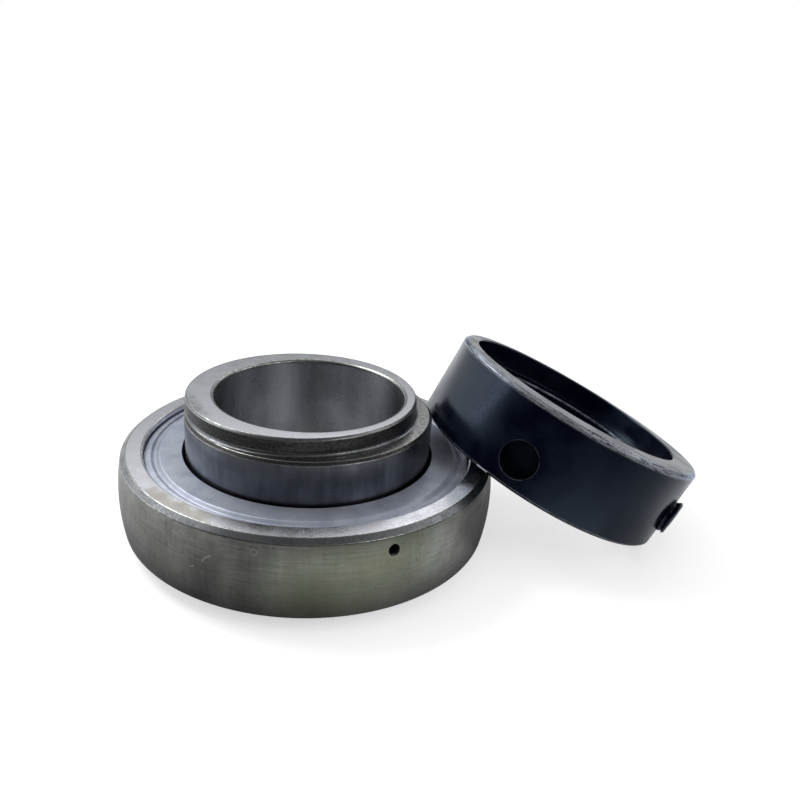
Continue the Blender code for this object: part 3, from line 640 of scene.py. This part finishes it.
    # a speckled streak down the collar's outside: rougher and bumpier, and painted a bluish tone that
    # stands in for its sheen
    sheenStreak = lineMask(tree, local, collarPoint(207.1, 8.0), collarPoint(210.5, 17.8), 2.6, 0.8, 1.0)
    pits = marksBetween(tree, local, [((0.19, 0.19, 0.19), 1.0)], 0.42, 0.62)
    pitted = addNode(tree, "ShaderNodeMath", {"operation": 'MULTIPLY'}, {0: sheenStreak, 1: pits}).outputs[0]
    height = addNode(tree, "ShaderNodeMath", {"operation": 'ADD'}, {0: pitted, 1: cloud}).outputs[0]
    height = addNode(tree, "ShaderNodeMath", {"operation": 'MULTIPLY_ADD'},
                     {0: rim, 1: 0.6, 2: height}).outputs[0]
    rough = addNode(tree, "ShaderNodeMath", {"operation": 'MULTIPLY_ADD'},
                    {0: sheenStreak, 1: 0.12, 2: rough}).outputs[0]
    return bareAndHighlight, pitted, height, rough


# the collar's own frame: bottom face at 0, bore along Z, recess at the top
collar = {"wall": 8.65, "slip": 0.15, "width": 18.3, "chamfer": 0.6, "boreChamfer": 1.0,
          "recessPlay": 0.15, "recessDepth": 5.0, "recessChamfer": 0.2, "recessTurn": 103.0,
          "driftHoleD": 7.8, "driftHoleDepth": 4.5, "driftHoleLift": -0.5, "driftHoleTurn": 231.5,
          "tappedHoleD": 8.0, "screwTurn": 315.0, "screwLift": 1.4, "edge": 0.12}
ringWall, camLowWall = 6.2, 2.6             # bore to ground outside; bore to the cam's low side
boreR = groundR - ringWall
camR = (groundR + boreR + camLowWall) / 2
camShift = (groundR - boreR - camLowWall) / 2
collarBoreR = boreR + collar["slip"]
collarR = collarBoreR + collar["wall"]
recessFloor = collar["width"] - collar["recessDepth"]
collarCentre = (collarLow + collarHigh) / 2 - collarAxis * collar["width"] / 2
collarPlace = Matrix.Translation(collarCentre * mm) @ Matrix.Rotation(collarTilt, 4, 'Y')


def collarPoint(turn, z):
    return Vector((collarR * math.cos(math.radians(turn)), collarR * math.sin(math.radians(turn)), z))


steelGround = groundSteel()
steelFaceLit = faceSteelLit()
steelTurned = steelFinish(chamferLook)[0]
steelNeck = steelFinish(neckLook)[0]
steelHoned = steelFinish(boreLook)[0]
steelCamAndHoleShade = steelFinish(camLook)[0]
steelEdge = steelFinish(edgeLook)[0]
steelShield = steelFinish(shieldLook)[0]
steelBall = steelFinish(ballLook)[0]
steelCage = steelFinish(cageLook)[0]
rubber = sealRubber()
oxide = blackOxide("oiled black oxide steel", True)
screwOxide = blackOxide("black oxide screw steel", False)
print("finishes made")


# outer ring: spherical outside, raceway inside, a seat for each shield
outerRing = {"wall": 5.9, "chamfer": 0.9, "seatBevel": 0.35, "seatDrop": 2.2, "raceSpare": 0.28,
             "greaseHoleD": 2.0, "greaseHoleTurn": -71.6, "greaseHoleLift": 5.19, "edge": 0.15}


def makeOuterRing():
    own = outerRing
    landR = outsideR - own["wall"]
    seatR = shieldHigh.x + fitGap + own["seatBevel"]
    faceR = math.sqrt(outsideR ** 2 - halfWidth ** 2) - own["chamfer"]
    seatFloor = halfWidth - own["seatDrop"]
    raceR = ballR + own["raceSpare"]
    raceCentre = pitchR + ballR + fitGap - raceR
    crown = math.asin((halfWidth - own["chamfer"]) / outsideR)
    raceTurn = math.acos((landR - raceCentre) / raceR)
    edge = own["edge"]
    outside = arcPoints(0.0, 0.0, outsideR, -crown, crown, 40, 0)
    outside[-1] = outside[-1][:2] + (1, edge)
    outside[0] = outside[0][:3] + (edge,)
    # on both sides the seat's bevel and wall take the pale face steel: painted light that lifts the
    # shade inside the seat
    upper = [(faceR, halfWidth, 2, edge), (seatR, halfWidth, 2, edge / 2),
             (seatR - own["seatBevel"], halfWidth - own["seatBevel"], 2, edge / 2),
             (seatR - own["seatBevel"], seatFloor, 3, edge / 2), (landR, seatFloor, 3, edge)]
    race = arcPoints(raceCentre, 0.0, raceR, raceTurn, -raceTurn, 24, 3)
    finishes = [3, 2, 2, 2, 1]              # finish of each stretch on the way back out
    lower = [(p[0], -p[1], f, p[3]) for p, f in zip(reversed(upper), finishes)]
    ring = outlineObject("outerRing", outside + upper + race + lower, middleZ, rubbed=4)
    finishOf = [steelGround, steelTurned, steelFaceLit, steelHoned, steelEdge]
    addTree(ring, turningTree(finishOf), {"Turn Steps": turnSteps})
    makePlain(ring)
    turn = math.radians(own["greaseHoleTurn"])
    out = Vector((math.cos(turn), math.sin(turn), 0.0))
    mouth = out * math.sqrt(outsideR ** 2 - own["greaseHoleLift"] ** 2)
    mouth.z = middleZ + own["greaseHoleLift"]
    # the grease hole is lined with the near-black cam steel: painted shade inside the hole
    cutAway(ring, [drill("greaseDrill", steelCamAndHoleShade, mouth, out, own["greaseHoleD"] / 2, 12.0, 0.12)])
    finishPiece(ring, "bearing", ["outer_ring"])


# rings whose section changes with the angle: one outline for each step round
def makeSteppedRing(name, outlineAt, materials, rubbed=None):
    bm = bmesh.new()
    loops, finishes = [], []
    for i in range(turnSteps):
        a = math.tau * i / turnSteps
        points = roundCorners(outlineAt(a), rubbed)
        finishes = [p[2] for p in points]
        loops.append([bm.verts.new((r * math.cos(a) * mm, r * math.sin(a) * mm, z * mm))
                      for r, z, finish in points])
    for here, there in zip(loops, loops[1:] + loops[:1]):
        for k, finish in enumerate(finishes):
            j = (k + 1) % len(finishes)
            bm.faces.new((here[k], there[k], there[j], here[j])).material_index = finish
    bmesh.ops.recalc_face_normals(bm, faces=bm.faces)
    mesh = bpy.data.meshes.new(name)
    bm.to_mesh(mesh)
    bm.free()
    for material in materials:
        mesh.materials.append(material)
    return linkObject(name, mesh)


def shiftedCircle(radius, shift, turn):
    def radiusAt(a):
        side = shift * math.sin(a - turn)
        return shift * math.cos(a - turn) + math.sqrt(radius ** 2 - side ** 2)
    return radiusAt


# inner ring: raceway, ground outside, shoulder and the eccentric cam
innerRing = {"chamfer": 0.6, "boreEndChamfer": 0.9, "boreMouthChamfer": 0.45, "camHeight": 3.6,
             "camFillet": 0.7, "filletLift": 0.03, "camChamfer": 0.4, "camTurn": 151.0,
             "raceSpare": 0.28, "edge": 0.1}


def makeInnerRing():
    own = innerRing
    raceR = ballR + own["raceSpare"]
    raceCentre = pitchR - ballR - fitGap + raceR
    raceTurn = math.acos((raceCentre - groundR) / raceR)
    shoulderZ = camEndZ - own["camHeight"]
    cam = shiftedCircle(camR, camShift, math.radians(own["camTurn"]))
    race = arcPoints(raceCentre, middleZ, raceR, math.pi + raceTurn, math.pi - raceTurn, 24, 5)
    race[-1] = race[-1][:2] + (2, 0.0)
    edge = own["edge"]

    def outlineAt(a):
        wall = cam(a)
        shoulder = min(max(groundR - own["chamfer"], wall), groundR)
        foot = min(wall + own["camFillet"], shoulder)
        points = [(boreR + own["boreEndChamfer"], 0.0, 3, edge),
                  (groundR - own["chamfer"], 0.0, 1, edge),
                  (groundR, own["chamfer"], 2, edge)] + race
        points += [(groundR, shoulderZ - own["chamfer"], 0, edge), (shoulder, shoulderZ, 4, edge)]
        for k in range(6):                  # fillet between the shoulder and the cam
            t = math.pi / 2 * k / 5
            points.append((wall + (foot - wall) * (1 - math.sin(t)),
                           shoulderZ + own["filletLift"] + (own["camFillet"] - own["filletLift"])
                           * (1 - math.cos(t)), 1 if k < 5 else 0, 0.0))
        mouth = own["boreMouthChamfer"]
        points += [(wall, camEndZ - own["camChamfer"], 1, edge),
                   (wall - own["camChamfer"], camEndZ, 3, edge),
                   (boreR + mouth, camEndZ, 3, edge * 3), (boreR, camEndZ - mouth, 5, edge * 3),
                   (boreR, own["boreEndChamfer"], 1, edge)]
        return points

    steels = [steelCamAndHoleShade, steelTurned, steelNeck, steelFaceLit, steelEdge, steelHoned]
    ring = makeSteppedRing("innerRing", outlineAt, steels, rubbed=4)
    finishPiece(ring, "inner_ring", ["inner_ring"])


# locking collar: eccentric recess, blind drift hole and tapped hole
def collarWall(turn, lift):
    a = math.radians(turn)
    return Vector((collarR * math.cos(a), collarR * math.sin(a), recessFloor / 2 + lift))


def makeCollar():
    own = collar
    recess = shiftedCircle(camR + own["recessPlay"], camShift, math.radians(own["recessTurn"]))
    top, edge = own["width"], own["edge"]

    def outlineAt(a):
        inside = recess(a)
        return [(collarBoreR + own["boreChamfer"], 0.0, 0, edge),
                (collarR - own["chamfer"], 0.0, 0, edge),
                (collarR, own["chamfer"], 0, edge), (collarR, top - own["chamfer"], 0, edge),
                (collarR - own["chamfer"], top, 0, edge), (inside + own["recessChamfer"], top, 0, edge),
                (inside, top - own["recessChamfer"], 0, edge), (inside, recessFloor, 0, edge),
                (collarBoreR, recessFloor, 0, edge * 5), (collarBoreR, own["boreChamfer"], 0, edge)]

    body = makeSteppedRing("lockingCollar", outlineAt, [oxide])
    cutters = []
    for name, turn, lift, diameter, depth in (
            ("driftDrill", own["driftHoleTurn"], own["driftHoleLift"], own["driftHoleD"],
             own["driftHoleDepth"]),
            ("tappingDrill", own["screwTurn"], own["screwLift"], own["tappedHoleD"],
             own["wall"] + 3.0)):
        mouth = collarWall(turn, lift)
        axis = Vector((mouth.x, mouth.y, 0.0)).normalized()
        cutters.append(drill(name, oxide, mouth, axis, diameter / 2, depth, 0.12))
    cutAway(body, cutters)
    body.data.transform(collarPlace)
    finishPiece(body, "bearing", ["locking_collar"])


# set screw: M8 by 1.25 with a hexagon socket
setScrew = {"length": 8.5, "standOut": 1.4, "crestR": 3.84, "endR": 3.1, "chamfer": 0.7, "edge": 0.35,
            "pitch": 1.25, "threadDepth": 0.45, "threadStart": 0.5, "threadEnd": 0.3,
            "hexFlats": 4.0, "hexDepth": 3.5, "rows": 80, "steps": 96}


def makeSetScrew():
    own = setScrew
    length, radius = own["length"], own["crestR"]
    plain, rows = length - own["chamfer"] - own["edge"], own["rows"]
    shank = [(radius, own["chamfer"] + plain * i / rows, 0, 0.0) for i in range(rows + 1)]
    outline = [(0.0, 0.0, 0, 0.0), (own["endR"], 0.0, 0, 0.05)] + shank
    outline += [(radius - own["edge"], length, 0, 0.05), (0.0, length, 0, 0.0)]
    screw = outlineObject("setScrew", outline)
    addTree(screw, turningTree([screwOxide]), {"Turn Steps": own["steps"]})
    addTree(screw, threadTree(screwOxide),
            {"Pitch": own["pitch"] * mm, "Depth": own["threadDepth"] * mm,
             "Start": own["threadStart"] * mm, "End": (length - own["threadEnd"]) * mm,
             "Shank Radius": radius * mm})
    makePlain(screw)
    keyR = own["hexFlats"] / 2 / math.cos(math.pi / 6)
    keyLow, keyHigh = length - own["hexDepth"], length + 1.0
    key = outlineObject("hexKey", [(0.0, keyLow, 0, 0.0), (keyR, keyLow, 0, 0.0),
                                   (keyR, keyHigh, 0, 0.0), (0.0, keyHigh, 0, 0.0)])
    addTree(key, turningTree([screwOxide]), {"Turn Steps": 6})
    makePlain(key)
    cutAway(screw, [key])
    a = math.radians(collar["screwTurn"])
    axis = Vector((math.cos(a), math.sin(a), 0.0))
    innerEnd = collarWall(collar["screwTurn"], collar["screwLift"]) + axis * (own["standOut"] - length)
    turn = Vector((0, 0, 1)).rotation_difference(axis).to_matrix().to_4x4()
    screw.data.transform(collarPlace @ Matrix.Translation(innerEnd * mm) @ turn)
    finishPiece(screw, "set_screw", ["set_screw"])


# pressed shields: flat, channel, ridge and the rim clamped in the outer ring
shield = {"sheet": 0.45, "boreGap": 0.7, "step": 0.65, "channelIn": 32.2, "channelWidth": 0.6,
          "channelSlope": 0.7, "ridgeSlope": 0.35, "rimDrop": 0.35, "bend": 0.22}


def makeShield(name, side, node):
    own = shield
    top = shieldHigh.z - middleZ
    inner, bend = groundR + own["boreGap"], own["bend"]
    channelOut = own["channelIn"] + own["channelWidth"]
    line = [(inner, top, 0.08), (own["channelIn"] - own["channelSlope"], top, bend),
            (own["channelIn"], top - own["step"], bend), (channelOut, top - own["step"], bend),
            (channelOut + own["ridgeSlope"], top, bend), (shieldHigh.x, top - own["rimDrop"], 0.08)]
    outline = [(r, z, 0, size) for r, z, size in line]
    outline += [(r, z - own["sheet"], 0, size) for r, z, size in reversed(line)]
    plate = outlineObject(name, [(r, side * z, f, size) for r, z, f, size in outline], middleZ)
    addTree(plate, turningTree([steelShield]), {"Turn Steps": turnSteps})
    makePlain(plate)
    finishPiece(plate, "bearing", [node])


# rubber lips under the shields
lip = {"neckShare": 1 / 3, "body": 0.8, "edge": 0.25, "steps": 160}


def makeLip(name, side, node):
    top, low = lipHigh.z - middleZ, lipLow.z - middleZ
    tip, outer = groundR + fitGap, lipHigh.x
    neck = tip + (outer - tip) * lip["neckShare"]
    outline = [(neck, top), (outer, top), (outer, top - lip["body"]), (neck, top - lip["body"]),
               (tip, low), (tip, low + lip["edge"])]
    ring = outlineObject(name, [(r, side * z, 0, 0.08) for r, z in outline], middleZ)
    addTree(ring, turningTree([rubber]), {"Turn Steps": lip["steps"]})
    makePlain(ring)
    finishPiece(ring, "bearing", [node])


# balls and rivets on the pitch circle
rolling = {"count": 9, "ballSegments": 48, "ballRings": 32}
rivet = {"sheet": 0.7, "shankR": 0.7, "headR": 1.3, "headBevel": 0.5, "headHeight": 0.6, "steps": 32}


def makeBalls():
    tree = circleTree(steelBall)
    for i in range(rolling["count"]):
        name = "ball_%d" % (i + 1)
        bm = bmesh.new()
        bmesh.ops.create_uvsphere(bm, u_segments=rolling["ballSegments"],
                                  v_segments=rolling["ballRings"], radius=ballR * mm)
        mesh = bpy.data.meshes.new("ballFine%d" % (i + 1))
        bm.to_mesh(mesh)
        bm.free()
        ball = linkObject("ballFine%d" % (i + 1), mesh)
        addTree(ball, tree, {"Count": rolling["count"], "Circle Radius": pitchR * mm,
                             "Height": middleZ * mm, "First Turn": 0.0, "Only": i})
        makePlain(ball)
        finishPiece(ball, name, [name])


def makeRivets():
    own = rivet
    under = fitGap / 2 + own["sheet"] + fitGap
    high = under + own["headHeight"]
    upper = [(0.0, high, 0, 0.0), (own["headR"] - own["headBevel"], high, 0, 0.2),
             (own["headR"], under, 0, 0.08), (own["shankR"], under, 0, 0.05)]
    lower = [(r, -z, f, size) for r, z, f, size in reversed(upper)]
    pin = outlineObject("cageRivets", upper + lower)
    addTree(pin, turningTree([steelCage]), {"Turn Steps": own["steps"]})
    addTree(pin, circleTree(steelCage), {"Count": rolling["count"], "Circle Radius": pitchR * mm,
                                         "Height": middleZ * mm,
                                         "First Turn": math.pi / rolling["count"], "Only": -1})
    makePlain(pin)
    finishPiece(pin, "cage", ["rivet_%d" % (i + 1) for i in range(rolling["count"])])


def dressCage():
    for name in ("upper_cage", "lower_cage"):
        mesh = frame["nodes"][name].data
        mesh.materials.clear()
        mesh.materials.append(steelCage)


makeOuterRing()
makeInnerRing()
makeShield("upperShield", 1, "upper_shield")
makeShield("lowerShield", -1, "lower_shield")
makeLip("upperLip", 1, "upper_seal_lip")
makeLip("lowerLip", -1, "lower_seal_lip")
makeBalls()
makeRivets()
dressCage()
makeCollar()
makeSetScrew()


# studio: white floor and background, soft lamps, grey surroundings that only reflections see
studio = {"floorSize": 6.0, "floorLift": 0.5, "shadowReach": (0.08, 0.26), "ambient": 0.55,
          "keyPower": 1.3, "keyPlace": (-0.32, 0.22, 0.48), "keySize": 0.35,
          "fillPower": 0.5, "fillPlace": (0.40, -0.42, 0.42), "fillSize": 0.40}

# each row is an azimuth from +Y towards +X, and the shades there along a line of (reach, height)
domeReach = 1.0
domeLine = [(domeReach * math.cos(math.radians(e)), domeReach * math.sin(math.radians(e)))
            for e in (0, 12, 20, 26, 33, 45, 60, 90)]
domeRows = [(-180, (0.02, 0.03, 0.08, 0.12, 0.14, 0.18, 0.15, 0.15)),
            (-165, (0.02, 0.03, 0.08, 0.12, 0.14, 0.18, 0.15, 0.15)),
            (-143, (0.01, 0.01, 0.02, 0.02, 0.03, 0.08, 0.12, 0.15)),
            (-121, (0.01, 0.01, 0.02, 0.02, 0.03, 0.08, 0.15, 0.15)),
            (-112, (0.03, 0.02, 0.03, 0.03, 0.04, 0.10, 0.15, 0.15)),
            (-103, (0.15, 0.12, 0.12, 0.14, 0.20, 0.30, 0.30, 0.15)),
            (-92, (0.60, 0.60, 0.70, 0.90, 1.20, 1.20, 0.50, 0.15)),
            (-76, (1.50, 1.50, 1.50, 1.70, 2.00, 1.70, 0.50, 0.15)),
            (-45, (1.00, 1.00, 0.80, 0.70, 0.75, 1.20, 0.50, 0.15)),
            (-25, (0.90, 0.50, 0.22, 0.44, 1.05, 1.50, 0.50, 0.15)),
            (0, (0.80, 0.25, 0.15, 0.46, 1.25, 1.60, 0.50, 0.15)),
            (25, (0.90, 0.25, 0.26, 0.60, 1.30, 1.60, 0.50, 0.15)),
            (42, (0.40, 0.20, 0.40, 0.90, 1.40, 1.30, 0.40, 0.15)),
            (57, (0.30, 0.12, 0.06, 0.05, 0.06, 0.20, 0.20, 0.15)),
            (75, (0.10, 0.10, 0.30, 0.55, 0.65, 0.60, 0.25, 0.15)),
            (90, (0.50, 0.50, 0.90, 1.50, 1.70, 1.20, 0.30, 0.15)),
            (103, (0.04, 0.05, 0.40, 0.90, 1.00, 0.80, 0.20, 0.15)),
            (112, (0.03, 0.03, 0.05, 0.06, 0.08, 0.15, 0.15, 0.15)),
            (130, (0.02, 0.02, 0.05, 0.10, 0.14, 0.18, 0.15, 0.15)),
            (145, (0.02, 0.03, 0.06, 0.12, 0.15, 0.18, 0.15, 0.15)),
            (180, (0.02, 0.03, 0.08, 0.12, 0.14, 0.18, 0.15, 0.15))]
# the floor skin's shades are painted shadow in reflections: a grey disc under the bore, and darker next
# to the ring where the floor lies in the object's shade
skinReach = (0.0002, 0.021, 0.042, 0.05, 0.07, 0.095, 0.14, 0.20, 0.30, domeReach)
skinLine = [(reach, 0.00001) for reach in skinReach]
skinCentre = 0.18
skinRows = [(-180, (0.06, 0.10, 0.34, 0.85, 0.80, 0.30, 0.10, 0.05, 0.03)),
            (-165, (0.08, 0.08, 0.30, 0.75, 0.70, 0.30, 0.12, 0.08, 0.05)),
            (-155, (0.20, 0.07, 0.18, 0.30, 0.32, 0.25, 0.16, 0.10, 0.06)),
            (-149, (0.30, 0.10, 0.24, 0.38, 0.42, 0.30, 0.20, 0.12, 0.08)),
            (-143, (0.45, 0.05, 0.14, 0.26, 0.32, 0.30, 0.22, 0.15, 0.10)),
            (-126, (0.50, 0.12, 0.32, 0.48, 0.52, 0.46, 0.42, 0.35, 0.30)),
            (-100, (0.40, 0.20, 0.38, 0.50, 0.60, 0.65, 0.60, 0.60, 0.60)),
            (-75, (0.50, 0.30, 0.58, 0.72, 0.80, 0.80, 0.80, 0.90, 1.00)),
            (-45, (0.30, 0.35, 0.60, 0.70, 0.80, 0.90, 1.00, 1.00, 1.00)),
            (-14, (0.10, 0.40, 0.60, 0.70, 0.80, 0.90, 1.10, 1.20, 1.20)),
            (20, (0.10, 0.40, 0.60, 0.70, 0.80, 0.90, 1.10, 1.20, 1.20)),
            (28, (0.10, 0.40, 0.60, 0.70, 0.80, 0.90, 0.90, 0.90, 0.90)),
            (38, (0.15, 0.40, 0.60, 0.70, 0.80, 0.90, 0.90, 0.90, 0.90)),
            (60, (0.30, 0.30, 0.50, 0.60, 0.80, 0.95, 0.90, 0.70, 0.60)),
            (80, (0.55, 0.10, 0.12, 0.30, 0.85, 0.90, 0.60, 0.30, 0.20)),
            (100, (0.40, 0.06, 0.12, 0.22, 0.70, 0.80, 0.40, 0.15, 0.10)),
            (114, (0.30, 0.08, 0.15, 0.30, 0.40, 0.32, 0.15, 0.08, 0.06)),
            (126, (0.45, 0.12, 0.50, 0.90, 0.40, 0.18, 0.08, 0.05, 0.04)),
            (150, (0.30, 0.12, 0.45, 0.90, 0.65, 0.14, 0.07, 0.04, 0.03)),
            (180, (0.06, 0.10, 0.34, 0.85, 0.80, 0.30, 0.10, 0.05, 0.03))]


def seenByEye(tree):
    paths = addNode(tree, "ShaderNodeLightPath").outputs
    some = addNode(tree, "ShaderNodeMath", {"operation": 'MAXIMUM'},
                   {0: paths["Is Camera Ray"], 1: paths["Is Glossy Ray"]}).outputs[0]
    return addNode(tree, "ShaderNodeMath", {"operation": 'MAXIMUM'},
                   {0: some, 1: paths["Is Transmission Ray"]}).outputs[0]


def makeFloor():
    half = studio["floorSize"] / 2
    mesh = bpy.data.meshes.new("floor")
    corners = [(-half, -half, 0), (half, -half, 0), (half, half, 0), (-half, half, 0)]
    mesh.from_pydata(corners, [], [(0, 1, 2, 3)])
    floor = linkObject("floor", mesh)
    floor.location.z = -0.02 * mm
    mat = bpy.data.materials.new("white studio floor")
    tree = emptyTree(mat)
    place = addNode(tree, "ShaderNodeTexCoord").outputs["Object"]
    reach = addNode(tree, "ShaderNodeVectorMath", {"operation": 'LENGTH'}, {0: place}).outputs["Value"]
    near, far = studio["shadowReach"]
    away = addNode(tree, "ShaderNodeMapRange", {"interpolation_type": 'SMOOTHSTEP'},
                   {"Value": reach, "From Min": near, "From Max": far}).outputs[0]
    eye = seenByEye(tree)
    factor = addNode(tree, "ShaderNodeMath", {"operation": 'MULTIPLY'}, {0: away, 1: eye}).outputs[0]
    lift = addNode(tree, "ShaderNodeMath", {"operation": 'MULTIPLY'},
                   {0: eye, 1: studio["floorLift"]}).outputs[0]
    matt = addNode(tree, "ShaderNodeBsdfDiffuse", inputs={"Color": (0.95, 0.95, 0.95, 1.0)})
    glow = addNode(tree, "ShaderNodeEmission", inputs={"Strength": lift})
    lit = addNode(tree, "ShaderNodeAddShader", inputs={0: matt.outputs[0], 1: glow.outputs[0]})
    white = addNode(tree, "ShaderNodeEmission", inputs={"Strength": 1.0})
    mixed = addNode(tree, "ShaderNodeMixShader",
                    inputs={0: factor, 1: lit.outputs[0], 2: white.outputs[0]})
    addNode(tree, "ShaderNodeOutputMaterial", inputs={"Surface": mixed.outputs[0]})
    mesh.materials.append(mat)


def makeWorld():
    world = bpy.data.worlds.new("white surroundings")
    bpy.context.scene.world = world
    tree = emptyTree(world)
    strength = addNode(tree, "ShaderNodeMapRange",
                       inputs={"Value": seenByEye(tree), "To Min": studio["ambient"], "To Max": 1.0})
    back = addNode(tree, "ShaderNodeBackground",
                   inputs={"Color": (1.0, 1.0, 1.0, 1.0), "Strength": strength.outputs[0]})
    addNode(tree, "ShaderNodeOutputWorld", inputs={"Surface": back.outputs[0]})


def makeLamp(name, place, size, power):
    data = bpy.data.lights.new(name, 'AREA')
    data.shape = 'DISK'
    data.size = size
    data.energy = power
    lamp = linkObject(name, data)
    lamp.location = place
    aim = Vector((0.02, 0.0, 0.01)) - lamp.location
    lamp.rotation_euler = aim.to_track_quat('-Z', 'Y').to_euler()


def shadeMaterial():
    mat = bpy.data.materials.new("grey surroundings")
    tree = emptyTree(mat)
    shade = addNode(tree, "ShaderNodeAttribute", {"attribute_name": "shade"}).outputs["Fac"]
    glow = addNode(tree, "ShaderNodeEmission",
                   inputs={"Color": (0.97, 0.98, 1.0, 1.0), "Strength": shade})
    addNode(tree, "ShaderNodeOutputMaterial", inputs={"Surface": glow.outputs[0]})
    mat.cycles.emission_sampling = 'NONE'
    return mat


# steel shows what stands round it, so a studio sets dark and pale sheets there; the floor sheet also
# carries painted shadow that reflections see
def makeSheet(name, line, rows, material):
    points, shades = [], []
    for azimuth, tones in rows:
        a = math.radians(azimuth)
        points += [(math.sin(a) * reach, math.cos(a) * reach, height) for reach, height in line]
        shades += tones
    wide = len(line)
    corners = [(i * wide + j, i * wide + j + 1, (i + 1) * wide + j + 1, (i + 1) * wide + j)
               for i in range(len(rows) - 1) for j in range(wide - 1)]
    mesh = bpy.data.meshes.new(name)
    mesh.from_pydata(points, [], corners)
    mesh.attributes.new("shade", 'FLOAT', 'POINT').data.foreach_set("value", shades)
    mesh.materials.append(material)
    sheet = linkObject(name, mesh)
    sheet.visible_camera = False
    sheet.visible_diffuse = False
    sheet.visible_shadow = False
    sheet.visible_transmission = False


makeFloor()
makeWorld()
makeLamp("keyLamp", studio["keyPlace"], studio["keySize"], studio["keyPower"])
makeLamp("fillLamp", studio["fillPlace"], studio["fillSize"], studio["fillPower"])
greySheet = shadeMaterial()
makeSheet("surroundings", domeLine, domeRows, greySheet)
# the floor skin carries painted shadow from the ring, seen only in reflections
skinShades = [(azimuth, (skinCentre,) + shades) for azimuth, shades in skinRows]
makeSheet("floorSkin", skinLine, skinShades, greySheet)
print("studio made")


# camera at the photograph's view
view = {"place": (-10.49, -139.661, 86.546), "heading": 8.54, "tilt": 22.11, "roll": 3.08,
        "lens": 31.94, "sensor": 36.0, "shiftX": 0.0517, "shiftY": -0.0028}


def makeCamera():
    heading, tilt, roll = (math.radians(view[k]) for k in ("heading", "tilt", "roll"))
    ahead = Vector((math.sin(heading) * math.cos(tilt), math.cos(heading) * math.cos(tilt),
                    -math.sin(tilt)))
    level = Vector((math.cos(heading), -math.sin(heading), 0.0))
    right = level * math.cos(roll) + level.cross(ahead) * math.sin(roll)
    up = right.cross(ahead)
    data = bpy.data.cameras.new("camera")
    data.lens = view["lens"]
    data.sensor_width = view["sensor"]
    data.shift_x = view["shiftX"]
    data.shift_y = view["shiftY"]
    data.clip_start = 0.01
    camera = linkObject("camera", data)
    camera.matrix_world = Matrix.Translation(Vector(view["place"]) * mm) @ Matrix(
        (right, up, -ahead)).transposed().to_4x4()
    bpy.context.scene.camera = camera


makeCamera()
bpy.context.scene.view_settings.view_transform = 'Standard'
bpy.context.view_layer.update()
